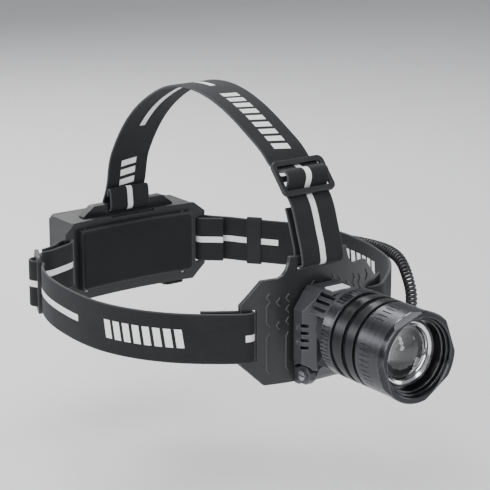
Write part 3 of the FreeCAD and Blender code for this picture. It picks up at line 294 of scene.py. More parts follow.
def anodised(name, base, rough, turned, edge=0.00035, metal=0.92, rim=(0.15, 0.85), lift=3.0, deep=0.0016):
    """Black anodised aluminium with a painted edge highlight (also standing for wear) and painted shade in recesses;
    turned pieces carry fine lathe lines round their axis.
    """
    m = Mat(name, base, rough, Metallic=metal, Anisotropic=0.45 if turned else 0.0)
    e, bn = m.edge(edge)
    _, y, _ = m.xyz()
    patch = m.span(m.noise(38, 3, 0.55), 0.3, 0.75, 0.0, 1.0)
    # painted edge highlight colour, also standing for wear on the edges
    worn_highlight_col = tuple(min(1, c * lift + 0.10) for c in base)
    soft = tuple(c * 1.3 for c in base)
    wear_and_edge_highlight = m.math("MULTIPLY", e, m.span(m.noise(420, 3, 0.6), 0.40, 0.72, *rim))
    c = m.mix(patch, base, soft)
    if turned:
        lines = m.noise1(y, 5200.0, 2.0)
        broad = m.noise1(y, 420.0, 1.0)
        c = m.mix(m.span(broad, 0.35, 0.7, 0.0, 0.6), c, tuple(k * 1.5 for k in base))
        m.rough(m.math("ADD", m.span(lines, 0.3, 0.7, rough - 0.06, rough + 0.07), m.span(patch, 0, 1, -0.02, 0.03)))
        m.normal(m.bump(lines, 0.20, 0.00002, bn))
        tg = m.n("ShaderNodeTangent", direction_type="RADIAL", axis="Y")
        m.put(m.b.inputs["Tangent"], tg.outputs[0])
    else:
        pits = m.noise(3800, 2, 0.6)
        m.rough(m.math("ADD", m.span(pits, 0.3, 0.7, rough - 0.05, rough + 0.06), m.span(patch, 0, 1, -0.02, 0.03)))
        m.normal(m.bump(pits, 0.30, 0.00003, bn))
    # painted shade in grooves and slots, laid over the painted edge highlight
    m.color(m.mix(m.painted_recess_shade(deep), tuple(k * 0.22 for k in base), m.mix(wear_and_edge_highlight, c, worn_highlight_col)))
    return m.m


def bare_metal(name, base, rough, brush=1200.0, edge=0.0002):
    m = Mat(name, base, rough, Metallic=1.0)
    e, bn = m.edge(edge)
    x, y, z = m.xyz()
    v = m.n("ShaderNodeCombineXYZ")
    m.put(v.inputs[0], m.math("MULTIPLY", x, 0.15))
    m.put(v.inputs[1], y)
    m.put(v.inputs[2], z)
    br = m.noise(brush, 3, 0.6, v.outputs[0])
    m.color(m.mix(m.span(m.noise(150, 2), 0.3, 0.7, 0, 1), tuple(c * 0.86 for c in base), base))
    m.rough(m.span(br, 0.3, 0.7, rough - 0.06, rough + 0.08))
    m.normal(m.bump(br, 0.15, 0.00002, bn))
    return m.m


def rubbery(name, base, rough=0.62, grain=1500.0):
    m = Mat(name, base, rough, Specular_IOR_Level=0.42)
    e, bn = m.edge(0.0003)
    dust = m.span(m.noise(120, 4, 0.65), 0.42, 0.8, 0.0, 1.0)
    m.color(m.mix(m.math("MULTIPLY", dust, 0.5), base, tuple(c * 1.7 + 0.01 for c in base)))
    g = m.noise(grain, 3, 0.6)
    m.rough(m.span(g, 0.3, 0.7, rough - 0.07, rough + 0.09))
    m.normal(m.bump(g, 0.35, 0.00006, bn))
    return m.m


def fab_coords(m):
    """Length along the strip and place across it, both in millimetres."""
    a = m.n("ShaderNodeAttribute", attribute_name="fab")
    return m.xyz(a.outputs["Vector"])


def weave_height(m, s, v, across=1.05, along_=0.80):
    """Ribbed elastic: raised cords along the length, crossed by a fine alternating pick."""
    cord = m.math("ABSOLUTE", m.math("SINE", m.math("MULTIPLY", v, math.pi / across)))
    lane = m.math("FLOOR", m.math("DIVIDE", v, across))
    shift = m.math("MULTIPLY", m.math("MODULO", lane, 2.0), 0.5)
    pick = m.math("SINE", m.math("MULTIPLY", m.math("ADD", m.math("DIVIDE", s, along_), shift), 2 * math.pi))
    return m.math("MULTIPLY", m.math("POWER", cord, 0.6), m.span(pick, -1, 1, 0.35, 1.0))


def webbing(name, dark, pale):
    m = Mat(name, dark, 0.86, Sheen_Weight=0.08, Sheen_Roughness=0.45, Specular_IOR_Level=0.30)
    m.b.inputs["Sheen Tint"].default_value = (0.75, 0.78, 0.85, 1)
    s, v, _ = fab_coords(m)
    h = weave_height(m, s, v)
    fuzz = m.noise(5200, 2, 0.7)
    cloud = m.span(m.noise(48, 3, 0.6), 0.3, 0.75, 0.0, 1.0)
    c = m.mix(m.span(h, 0.1, 0.9, 0.0, 1.0), tuple(k * 0.62 for k in dark), pale)
    c = m.mix(m.math("MULTIPLY", cloud, 0.35), c, tuple(k * 1.35 for k in pale))
    # painted highlight along both selvedges, also standing for selvedge wear
    rim = m.span(m.math("ABSOLUTE", v), 14.0, 15.0, 0.0, 0.75)
    c = m.mix(rim, c, tuple(k * 2.6 + 0.035 for k in pale))
    m.color(c)
    m.rough(m.span(fuzz, 0.25, 0.75, 0.78, 0.95))
    m.normal(m.bump(m.math("ADD", h, m.math("MULTIPLY", fuzz, 0.35)), 0.55, 0.00016))
    return m.m


def reflective(name):
    """White reflective yarn: glass-bead glitter over the same weave."""
    m = Mat(name, (0.84, 0.85, 0.86), 0.42, Sheen_Weight=0.1, Specular_IOR_Level=0.6, Coat_Weight=0.25, Coat_Roughness=0.35)
    s, v, _ = fab_coords(m)
    h = weave_height(m, s, v, 0.7, 0.8)
    beads = m.noise(7800, 1, 0.6)
    soil = m.span(m.noise(70, 4, 0.65), 0.45, 0.8, 0.0, 0.35)
    c = m.mix(m.span(h, 0.0, 0.7, 0.0, 1.0), (0.80, 0.805, 0.82), (0.95, 0.952, 0.955))
    m.color(m.mix(soil, c, (0.62, 0.62, 0.61)))
    m.rough(m.span(beads, 0.3, 0.7, 0.30, 0.58))
    m.normal(m.bump(m.math("ADD", h, beads), 0.30, 0.00007))
    return m.m


def knit(name, dark, pale, pitch=1.25):
    """Close knitted facing on foam, worked out from object coordinates."""
    m = Mat(name, dark, 0.9, Sheen_Weight=0.08, Sheen_Roughness=0.5, Specular_IOR_Level=0.3)
    x, y, z = m.xyz()
    k = 2 * math.pi / (pitch * MM)
    a = m.math("SINE", m.math("MULTIPLY", x, k))
    b = m.math("SINE", m.math("ADD", m.math("MULTIPLY", z, k * 0.85), m.math("MULTIPLY", a, 0.9)))
    h = m.span(m.math("MULTIPLY", a, b), -1, 1, 0, 1)
    cloud = m.span(m.noise(40, 3, 0.6), 0.3, 0.75, 0.0, 1.0)
    c = m.mix(h, dark, pale)
    m.color(m.mix(m.math("MULTIPLY", cloud, 0.3), c, tuple(q * 1.4 for q in pale)))
    m.rough(m.span(m.noise(4000, 2), 0.3, 0.7, 0.82, 0.96))
    m.normal(m.bump(h, 0.5, 0.00018))
    return m.m


def board(name, base, rough=0.4):
    m = Mat(name, base, rough, Coat_Weight=0.3, Coat_Roughness=0.2)
    x = m.n("ShaderNodeTexVoronoi", feature="DISTANCE_TO_EDGE")
    m.put(x.inputs["Vector"], m.obj())
    x.inputs["Scale"].default_value = 420
    tr = m.span(x.outputs["Distance"], 0.02, 0.05, 1.0, 0.0)
    m.color(m.mix(tr, base, tuple(min(1, c * 1.6 + 0.03) for c in base)))
    m.normal(m.bump(tr, 0.3, 0.00004))
    return m.m


# lift and rim set each finish's painted edge highlight, deep the reach of its painted shade in recesses
plate_black = moulded("plate_black", (0.018, 0.0185, 0.020), 0.36, 2300, 0.00004, 0.0007, 7.0, rim=(0.75, 1.0), deep=0.0022)
case_grey = moulded("case_grey", (0.019, 0.0195, 0.021), 0.46, 2000, 0.00006, 0.0005, 3.4)
case_frame = moulded("case_frame", (0.014, 0.0145, 0.016), 0.38, 2400, 0.00005, 0.0005, 4.2)
slider_black = moulded("slider_black", (0.013, 0.013, 0.0145), 0.44, 1800, 0.00003, 0.0004, 3.0)
side_steel = bare_metal("side_screw", (0.50, 0.51, 0.53), 0.28)
inner_plastic = moulded("inner_plastic", (0.045, 0.045, 0.048), 0.5)
switch_black = moulded("switch_black", (0.04, 0.04, 0.043), 0.45)
pad_frame_m = moulded("pad_frame_plastic", (0.021, 0.0215, 0.0235), 0.44, 2200, 0.00005, 0.0004, 3.5)
block_black = anodised("lamp_block_black", (0.050, 0.051, 0.056), 0.38, False, 0.0006, metal=0.35, rim=(0.5, 0.9), lift=3.6, deep=0.0024)
turned_black = anodised("turned_black", (0.048, 0.049, 0.054), 0.27, True, 0.0004, rim=(0.3, 0.8))
rim_black = anodised("bezel_black", (0.038, 0.0385, 0.042), 0.17, True, 0.0006, rim=(0.85, 1.0), lift=5.0)
tube_black = anodised("tube_black", (0.028, 0.0285, 0.031), 0.32, True)
steel = bare_metal("steel_screw", (0.46, 0.47, 0.49), 0.36)
sink = bare_metal("sink_metal", (0.76, 0.77, 0.79), 0.34)
ring_metal = bare_metal("ring_metal", (0.88, 0.89, 0.90), 0.14, 900)
port_metal = bare_metal("port_metal", (0.66, 0.67, 0.69), 0.25)
contact_metal = bare_metal("contact_metal", (0.82, 0.72, 0.46), 0.28)
rubber = rubbery("rubber_black", (0.030, 0.030, 0.032))
cable_m = rubbery("cable_black", (0.022, 0.022, 0.024), 0.38, 900.0)
web_m = webbing("webbing", (0.0085, 0.0088, 0.0098), (0.021, 0.0215, 0.0235))
web_keep = webbing("keeper_webbing", (0.011, 0.0115, 0.0125), (0.027, 0.0275, 0.030))
stripe_m = reflective("reflective_stripe")
pad_m = knit("head_pad_facing", (0.0055, 0.0057, 0.0065), (0.012, 0.0125, 0.014), 1.1)
foam_m = knit("liner_facing", (0.009, 0.0093, 0.010), (0.020, 0.0205, 0.0225), 1.5)
green = board("board_green", (0.02, 0.16, 0.07))
white_board = board("led_board_white", (0.80, 0.80, 0.78), 0.35)

lens_g = Mat("lens_glass", (0.97, 0.98, 0.99), 0.02, Transmission_Weight=1.0, IOR=1.49, Coat_Weight=0.3, Coat_Roughness=0.03)
lens_g.rough(lens_g.span(lens_g.noise(90, 3, 0.6), 0.4, 0.8, 0.008, 0.035))
lens_m = lens_g.m

led = Mat("led_yellow", (0.90, 0.74, 0.16), 0.35, Coat_Weight=0.8, Coat_Roughness=0.08)
led.color(led.mix(led.span(led.noise(1600, 2), 0.3, 0.7, 0, 1), (0.86, 0.66, 0.12), (0.95, 0.82, 0.26)))
led_m = led.m

bt = Mat("button_white", (0.80, 0.84, 0.87), 0.30, Subsurface_Weight=0.35, Coat_Weight=0.35, Coat_Roughness=0.15)
bt.b.inputs["Subsurface Radius"].default_value = (0.0015, 0.0016, 0.0018)
bt.b.inputs["Subsurface Scale"].default_value = 1.0
bt.color(bt.mix(bt.span(bt.noise(240, 3, 0.6), 0.35, 0.75, 0, 1), (0.84, 0.88, 0.91), (0.94, 0.96, 0.97)))
bt.normal(bt.bump(bt.noise(2600, 2), 0.15, 0.00003))
button_m = bt.m

cell = Mat("cell_wrap", (0.07, 0.20, 0.40), 0.28, Coat_Weight=0.5, Coat_Roughness=0.12)
cx, cy, cz = cell.xyz()
cell_end = cell.span(cell.math("ABSOLUTE", cx), 0.0305, 0.0308, 0.0, 1.0)
cell.color(cell.mix(cell_end, cell.mix(cell.span(cell.noise(60, 3), 0.3, 0.7, 0, 1), (0.05, 0.17, 0.36), (0.09, 0.24, 0.46)), (0.62, 0.62, 0.63)))
cell.put(cell.b.inputs["Metallic"], cell_end)
cell.normal(cell.bump(cell.noise(900, 3, 0.6), 0.2, 0.0001))
cell_m = cell.m

cable.data.materials.append(cable_m)
USE = {
    "front_plate": plate_black, "tilt_bracket": block_black, "bracket_screws": steel, "hinge_pin": steel, "hinge_nut": steel,
    "lamp_block": block_black, "block_rear_cover": block_black, "block_gasket": rubber, "block_side_screws": side_steel,
    "driver_board": green, "tactile_switch": switch_black, "power_button": button_m, "heat_sink": sink, "led_board": white_board,
    "led_emitter": led_m, "led_board_screws": steel, "grip_ring": turned_black, "barrel_tube": tube_black, "barrel_o_ring": rubber,
    "zoom_sleeve": turned_black, "bezel": rim_black, "lens": lens_m, "lens_retaining_ring": ring_metal, "lens_seal": rubber,
    "lens_clamp_ring": inner_plastic, "carrier_plate": case_frame, "pad_frame": pad_frame_m, "carrier_screws": steel,
    "battery_case": case_grey, "cover_hinge_pins": steel, "battery_cover": case_grey, "battery_cell_upper": cell_m,
    "battery_cell_lower": cell_m, "cell_holder": inner_plastic, "contact_springs": contact_metal, "contact_plates": contact_metal,
    "charge_board": green, "charge_port": port_metal, "port_cover": rubber, "port_hinge_ears": case_grey, "port_hinge_pin": steel,
    "strap_anchor_bar": case_frame, "cable_gland_rear": rubber, "cable_gland_front": rubber,
}
for node, mat in USE.items():
    for sl in NODES[node].material_slots:
        sl.material = mat


# ---------------------------------------------------------------------------
# Webbing
# ---------------------------------------------------------------------------
def spline(pts, step=0.5):
    """Even points on a natural cubic through pts (mm), with normals and length."""
    P = np.array(pts, float)
    n = len(P)
    t = np.concatenate([[0], np.cumsum(np.hypot(*(P[1:] - P[:-1]).T))])
    h = np.diff(t)
    A = np.zeros((n, n))
    B = np.zeros((n, 2))
    A[0, 0] = A[-1, -1] = 1
    for i in range(1, n - 1):
        A[i, i - 1], A[i, i], A[i, i + 1] = h[i - 1], 2 * (h[i - 1] + h[i]), h[i]
        B[i] = 6 * ((P[i + 1] - P[i]) / h[i] - (P[i] - P[i - 1]) / h[i - 1])
    M = np.linalg.solve(A, B)
    u = np.linspace(0, t[-1], int(t[-1] / 0.05))
    k = np.clip(np.searchsorted(t, u, side="right") - 1, 0, n - 2)
    a = (t[k + 1] - u)[:, None]
    b = (u - t[k])[:, None]
    hk = h[k][:, None]
    Q = M[k] * a ** 3 / (6 * hk) + M[k + 1] * b ** 3 / (6 * hk) + (P[k] / hk - M[k] * hk / 6) * a + (P[k + 1] / hk - M[k + 1] * hk / 6) * b
    s = np.concatenate([[0], np.cumsum(np.hypot(*(Q[1:] - Q[:-1]).T))])
    m = max(8, int(round(s[-1] / step)))
    v = np.linspace(0, s[-1], m + 1)
    R = np.stack([np.interp(v, s, Q[:, 0]), np.interp(v, s, Q[:, 1])], 1)
    D = np.gradient(R, axis=0)
    D /= np.linalg.norm(D, axis=1)[:, None]
    return R, np.stack([-D[:, 1], D[:, 0]], 1), v


def frame2(a, b):
    d = (b[0] - a[0], b[1] - a[1])
    m = math.hypot(*d)
    return (d[0] / m, d[1] / m), m


def local(a, d, nrm, s, o):
    return (a[0] + d[0] * s + nrm[0] * o, a[1] + d[1] * s + nrm[1] * o)


SLA, SLB = (-92.6, 64.4), (-82.6, 85.9)
dL, mL = frame2(SLA, SLB)
nL = (-dL[1], dL[0])
STA, STB = (-73.1, 94.8), (-88.6, 77.8)
dT, mT = frame2(STA, STB)
nT = (dT[1], -dT[0])
LW = [local(SLA, dL, nL, *q) for q in ((2.0, -2.6), (6.6, 0.3), (9.2, 4.0), (12.0, 4.9), (14.8, 4.0), (17.0, 0.3), (19.2, -2.3), (22.6, -2.7))]
CW = [local(STA, dT, nT, *q) for q in ((2.0, -2.6), (6.4, 0.2), (8.8, 4.0), (11.6, 5.2), (14.2, 4.3), (16.8, 0.2), (19.0, -2.5), (22.4, -2.8))]
LEFT = [(-66.0, -71.8), (-60.0, -76.2), (-53.0, -80.6), (-47.0, -84.2), (-42.6, -86.4), (-41.4, -88.8), (-42.8, -91.0), (-45.6, -91.4), (-50.0, -89.6),
        (-59.0, -83.8), (-68.0, -77.0), (-77.0, -69.0), (-85.0, -60.0), (-92.0, -49.6), (-98.0, -37.5), (-102.5, -23.0), (-104.6, -5.0),
        (-104.4, 10.0), (-103.2, 24.0), (-100.6, 39.0), (-96.6, 52.0), (-92.0, 61.2)] + LW + [
        (-77.6, 86.4), (-72.5, 87.2), (-63.0, 90.2), (-54.5, 93.6), (-50.2, 97.0), (-49.6, 99.2), (-50.6, 102.2), (-54.5, 102.6), (-61.0, 98.2),
        (-68.0, 94.4), (-74.0, 92.6)]
RIGHT = [(66.0, -71.8), (60.0, -76.2), (53.0, -80.6), (47.0, -84.2), (42.6, -86.4), (41.4, -88.8), (42.8, -91.0), (47.0, -91.2), (52.0, -90.2),
         (58.0, -86.0), (66.0, -79.2), (74.0, -72.4), (83.0, -62.6), (91.0, -51.0), (97.0, -36.0), (101.6, -20.0), (104.0, -6.0), (105.0, 5.0),
         (105.0, 15.0), (102.6, 31.0), (97.4, 44.0), (88.6, 57.0), (81.0, 67.6), (77.6, 72.2), (73.4, 78.0), (69.8, 84.0), (65.4, 90.2), (60.0, 96.8),
         (54.5, 102.6), (50.6, 102.2), (49.6, 99.2), (50.2, 97.0), (53.0, 94.2), (57.0, 91.0), (62.2, 86.8)]
CROWN = [(109.0, 36.8), (109.3, 39.2), (108.5, 41.2), (106.9, 41.7), (106.0, 39.6), (105.6, 36.6), (105.3, 32.6), (105.7, 28.9), (107.4, 27.4), (110.4, 27.4), (113.6, 27.45), (115.1, 29.2), (115.0, 32.6),
         (113.2, 36.4), (110.9, 41.6), (109.2, 47.0), (108.0, 53.0), (105.4, 62.5), (100.6, 71.4), (90.7, 85.2), (78.6, 97.7), (65.3, 107.7),
         (54.8, 113.8), (41.8, 119.8), (27.9, 123.3), (13.0, 124.3), (-4.0, 122.4), (-18.8, 118.4), (-33.6, 112.5), (-49.5, 104.6), (-64.5, 95.4),
         (-70.6, 91.6)] + CW + [(-91.4, 68.0), (-95.4, 57.0), (-98.7, 47.6), (-99.7, 43.0), (-99.8, 39.8), (-96.8, 38.2), (-93.6, 39.6), (-93.0, 43.2),
         (-91.0, 51.0), (-87.4, 61.0), (-83.6, 70.0)]
HALF_W, HALF_T = 15.0, 0.8
# cross-section, place across and height: flat faces, a slightly thinner selvedge
EDGE = [(14.10, 0.80), (14.50, 0.74), (14.80, 0.52), (14.95, 0.25)]
FLAT = [-12.5, -10.0, -7.0, -4.0, -2.0, 0.0, 2.0, 4.0, 7.0, 10.0, 12.5]


def section(hw):
    k = hw - HALF_W
    top = [(-(v + k), h) for v, h in reversed(EDGE)] + [(v * (1 if abs(v) <= 2 else hw / HALF_W), HALF_T) for v in FLAT] + [(v + k, h) for v, h in EDGE]
    return top + [(hw, 0.0)] + [(v, -h) for v, h in reversed(top)] + [(-hw, 0.0)]


def to3(plane, p, q, w):
    """Plane 'z': p, q are x, y and w is z.  Plane 'x': p, q are y, z and w is x."""
    return (p * MM, q * MM, w * MM) if plane == "z" else (w * MM, p * MM, q * MM)


def strip(name, pts, plane, stripes=(), mat=None, hw=HALF_W, step=0.6):
    """Webbing along pts; stripes are (from, to, side), side +1 on the normal's side."""
    R, N, s = spline(pts, step)
    sec = section(hw)
    m = len(sec)
    verts, fabs = [], []
    for (p, q), (nx, ny), t in zip(R, N, s):
        for v, h in sec:
            verts.append(to3(plane, p + nx * h, q + ny * h, v))
            fabs.append((t, v, h))
    faces, kinds = [], []
    for i in range(len(s) - 1):
        mid = (s[i] + s[i + 1]) / 2
        for j in range(m):
            k = (j + 1) % m
            faces.append((i * m + j, i * m + k, (i + 1) * m + k, (i + 1) * m + j))
            v0, h0 = sec[j]
            v1, h1 = sec[k]
            inside = abs(v0) <= 2.001 and abs(v1) <= 2.001 and abs(h0) == HALF_T and h0 == h1
            kinds.append(1 if inside and any(a <= mid <= b and h0 * sd > 0 for a, b, sd in stripes) else 0)
    faces.append(tuple(range(m - 1, -1, -1)))
    faces.append(tuple((len(s) - 1) * m + j for j in range(m)))
    kinds += [0, 0]
    me = bpy.data.meshes.new(name)
    me.from_pydata(verts, [], faces)
    me.materials.append(mat or web_m)
    me.materials.append(stripe_m)
    me.polygons.foreach_set("material_index", kinds)
    me.polygons.foreach_set("use_smooth", [True] * (len(faces) - 2) + [False] * 2)
    a = me.attributes.new("fab", "FLOAT_VECTOR", "POINT")
    a.data.foreach_set("vector", np.array(fabs, np.float32).ravel())
    me.update()
    bm = bmesh.new()
    bm.from_mesh(me)
    bmesh.ops.recalc_face_normals(bm, faces=bm.faces)
    bm.to_mesh(me)
    bm.free()
    return link(name, me), (R, N, s)


def tape(name, path, plane, bars, mat, lift=0.07, thick=0.10, hw_cap=None):
    """Thin printed shapes on a strip's face: bars are (quad corners in s,v; side)."""
    R, N, s = path
    verts, faces, fabs = [], [], []
    for quad, sd in bars:
        (s0, v0), (s1, v1), (s2, v2), (s3, v3) = quad      # s0..s1 lower edge, s3..s2 upper edge
        nu, nv = max(2, int(abs(s1 - s0) / 0.6)), 4
        base_i = len(verts)
        for layer in (0, 1):
            off = sd * (HALF_T + lift * (0 if layer == 0 else 1) + (thick - lift if layer else -0.05))
            for i in range(nu + 1):
                f = i / nu
                for j in range(nv + 1):
                    g = j / nv
                    ss = (s0 + (s1 - s0) * f) * (1 - g) + (s3 + (s2 - s3) * f) * g
                    vv = (v0 + (v1 - v0) * f) * (1 - g) + (v3 + (v2 - v3) * f) * g
                    p, q = np.interp(ss, s, R[:, 0]), np.interp(ss, s, R[:, 1])
                    nx, ny = np.interp(ss, s, N[:, 0]), np.interp(ss, s, N[:, 1])
                    verts.append(to3(plane, p + nx * off, q + ny * off, vv))
                    fabs.append((ss, vv, off))
        w = nv + 1
        cnt = (nu + 1) * w
        for i in range(nu):
            for j in range(nv):
                a = base_i + i * w + j
                faces.append((a, a + w, a + w + 1, a + 1))
                b = a + cnt
                faces.append((b, b + 1, b + w + 1, b + w))
        rim = [i * w for i in range(nu + 1)] + [nu * w + j for j in range(1, w)] + [i * w + nv for i in range(nu - 1, -1, -1)] + [j for j in range(nv - 1, 0, -1)]
        for i, a in enumerate(rim):
            b = rim[(i + 1) % len(rim)]
            faces.append((base_i + a, base_i + b, base_i + cnt + b, base_i + cnt + a))
    me = bpy.data.meshes.new(name)
    me.from_pydata(verts, [], faces)
    me.materials.append(mat)
    a = me.attributes.new("fab", "FLOAT_VECTOR", "POINT")
    a.data.foreach_set("vector", np.array(fabs, np.float32).ravel())
    bm = bmesh.new()
    bm.from_mesh(me)
    bmesh.ops.recalc_face_normals(bm, faces=bm.faces)
    bm.to_mesh(me)
    bm.free()
    o = link(name, me)
    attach(o, "frame")
    return o


def slant_bars(start, count, sd, pitch=6.5, wide=4.4, high=11.0, lean=1.6):
    """A row of leaning bars, centred across the strip."""
    out = []
    for k in range(count):
        a = start + k * pitch
        out.append((((a, -high / 2), (a + wide, -high / 2), (a + wide + lean, high / 2), (a + lean, high / 2)), sd))
    return out


left, left_path = strip("side_strap_left", LEFT, "z", stripes=[(a, b, d) for a, b in ((23.5, 38.4), (149.0, 290.0)) for d in (1, -1)])
right, right_path = strip("side_strap_right", RIGHT, "z", stripes=[(214.0, 301.0, d) for d in (1, -1)])
crown, crown_path = strip("crown_strap_web", CROWN, "x", stripes=[(0.0, 26.5, -1), (0.0, 26.5, 1), (95.0, 151.0, 1), (167.5, 186.5, -1), (277.0, 344.5, -1)])
for o, names in ((left, ("strap_left", "strap_left_rear", "strap_left_end")), (right, ("strap_right", "strap_right_rear", "strap_right_end")),
                 (crown, ("strap_crown", "strap_crown_front", "strap_crown_rear"))):
    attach(o, "frame")
    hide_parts(*names)
tape("bars_left", left_path, "z", slant_bars(73, 8, 1, 6.5), stripe_m)
tape("bars_right", right_path, "z", slant_bars(120, 7, 1, 6.7), stripe_m)
tape("bars_crown", crown_path, "x", slant_bars(201.5, 9, -1, 6.9) + slant_bars(38.5, 4, 1, 6.9), stripe_m)


def stitches(name, path, plane, rows, sd_list=(1,), length=2.0, gap=1.0, rad=0.22):
    """Rows of thread stitches standing slightly proud; a row is (s0, v0, s1, v1)."""
    R, N, s = path
    bm = bmesh.new()
    for (s0, v0, s1, v1), sd in ((r, d) for r in rows for d in sd_list):
        run = math.hypot(s1 - s0, v1 - v0)
        cnt = max(1, int(run / (length + gap)))
        for k in range(cnt):
            a, b = (k + 0.15) / cnt, (k + 0.85) / cnt
            ring = []
            for f, lift in ((a, -0.08), (a + (b - a) * 0.2, 0.12), ((a + b) / 2, 0.2), (b - (b - a) * 0.2, 0.12), (b, -0.08)):
                ss, vv = s0 + (s1 - s0) * f, v0 + (v1 - v0) * f
                p, q = np.interp(ss, s, R[:, 0]), np.interp(ss, s, R[:, 1])
                nx, ny = np.interp(ss, s, N[:, 0]), np.interp(ss, s, N[:, 1])
                off = sd * (HALF_T + lift)
                ring.append(Vector(to3(plane, p + nx * off, q + ny * off, vv)))
            loops = []
            for i, c in enumerate(ring):
                d = (ring[min(i + 1, 4)] - ring[max(i - 1, 0)]).normalized()
                e1 = d.orthogonal().normalized()
                e2 = d.cross(e1)
                loops.append([bm.verts.new(c + (e1 * math.cos(t) + e2 * math.sin(t)) * rad * MM) for t in (0, 1.2566, 2.5133, 3.7699, 5.0265)])
            for x, y in zip(loops[:-1], loops[1:]):
                for i in range(5):
                    bm.faces.new((x[i], x[(i + 1) % 5], y[(i + 1) % 5], y[i]))
            bm.faces.new(loops[0][::-1])
            bm.faces.new(loops[-1])
    bmesh.ops.recalc_face_normals(bm, faces=bm.faces)
    for f in bm.faces:
        f.smooth = True
    me = bpy.data.meshes.new(name)
    bm.to_mesh(me)
    bm.free()
    me.materials.append(thread_m)
    o = link(name, me)
    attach(o, "frame")
    return o


th = Mat("sewing_thread", (0.040, 0.041, 0.045), 0.6, Sheen_Weight=0.3)
tw = th.n("ShaderNodeTexWave", wave_type="BANDS", bands_direction="DIAGONAL")
th.put(tw.inputs["Vector"], th.obj())
tw.inputs["Scale"].default_value = 1400
th.color(th.mix(tw.outputs["Fac"], (0.030, 0.031, 0.034), (0.075, 0.077, 0.083)))
th.normal(th.bump(tw.outputs["Fac"], 0.4, 0.00006))
thread_m = th.m


def box_rows(s0, s1, w=12.4):
    return [(s0, -w, s0, w), (s1, -w, s1, w), (s0, -w, s1, -w), (s0, w, s1, w)]


stitches("stitches_left", left_path, "z", box_rows(57.5, 63.5) + box_rows(300.5, 309.0), (-1,))
stitches("stitches_right", right_path, "z", box_rows(57.5, 63.5) + box_rows(286.0, 293.6), (1,))


# ---------------------------------------------------------------------------
# Keeper loop: a closed band of narrow webbing round the doubled right strap
# ---------------------------------------------------------------------------
def keeper():
    kmid, kd, kn = (77.6, 72.2), (-0.63, 0.777), (0.777, 0.63)
    a, b, r = 15.8, 1.55, 1.2          # half height (z), half depth across the strap, corner radius
    loop = []
    for cxx, czz, t0 in ((b - r, a - r, 0), (-(b - r), a - r, 90), (-(b - r), -(a - r), 180), (b - r, -(a - r), 270)):
        for k in range(7):
            t = math.radians(t0 + 15 * k)
            loop.append((cxx + r * math.cos(t), czz + r * math.sin(t), math.cos(t), math.sin(t)))
    dense = []
    for i in range(len(loop)):
        p, q = loop[i], loop[(i + 1) % len(loop)]
        dist = math.hypot(q[0] - p[0], q[1] - p[1])
        cnt = max(1, int(dist / 1.0))
        for k in range(cnt):
            f = k / cnt
            dense.append(tuple(p[c] * (1 - f) + q[c] * f for c in range(4)))
    sec = []
    for v, h in ((-5.0, 0.0), (-4.9, 0.25), (-4.6, 0.42), (-3.5, 0.45), (-1.75, 0.45), (0, 0.45), (1.75, 0.45), (3.5, 0.45), (4.6, 0.42), (4.9, 0.25)):
        sec.append((v, h))
    sec += [(-v, -h) for v, h in sec]
    verts, fabs, faces = [], [], []
    run = 0
    for i, (o, z, no, nz) in enumerate(dense):
        if i:
            run += math.hypot(o - dense[i - 1][0], z - dense[i - 1][1])
        for v, h in sec:
            oo, zz = o + no * h, z + nz * h
            verts.append(((kmid[0] + kd[0] * v + kn[0] * oo) * MM, (kmid[1] + kd[1] * v + kn[1] * oo) * MM, zz * MM))
            fabs.append((run, v, h))
    n, m = len(dense), len(sec)
    for i in range(n):
        for j in range(m):
            faces.append((i * m + j, i * m + (j + 1) % m, ((i + 1) % n) * m + (j + 1) % m, ((i + 1) % n) * m + j))
    me = bpy.data.meshes.new("keeper_loop")
    me.from_pydata(verts, [], faces)
    me.materials.append(web_keep)
    a_ = me.attributes.new("fab", "FLOAT_VECTOR", "POINT")
    a_.data.foreach_set("vector", np.array(fabs, np.float32).ravel())
    me.polygons.foreach_set("use_smooth", [True] * len(faces))
    bm = bmesh.new()
    bm.from_mesh(me)
    bmesh.ops.recalc_face_normals(bm, faces=bm.faces)
    bm.to_mesh(me)
    bm.free()
    o = link("keeper_loop", me)
    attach(o, "frame")
    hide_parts("keeper_band")


keeper()


# ---------------------------------------------------------------------------
# Sliders: moulded three-bar frames with rounded corners and edges
# ---------------------------------------------------------------------------
def rounded(x0, y0, x1, y1, r, k=6):
    out = []
    for cx_, cy_, t0 in ((x1 - r, y1 - r, 0), (x0 + r, y1 - r, 90), (x0 + r, y0 + r, 180), (x1 - r, y0 + r, 270)):
        for i in range(k + 1):
            t = math.radians(t0 + 90 * i / k)
            out.append((cx_ + r * math.cos(t), cy_ + r * math.sin(t)))
    return out


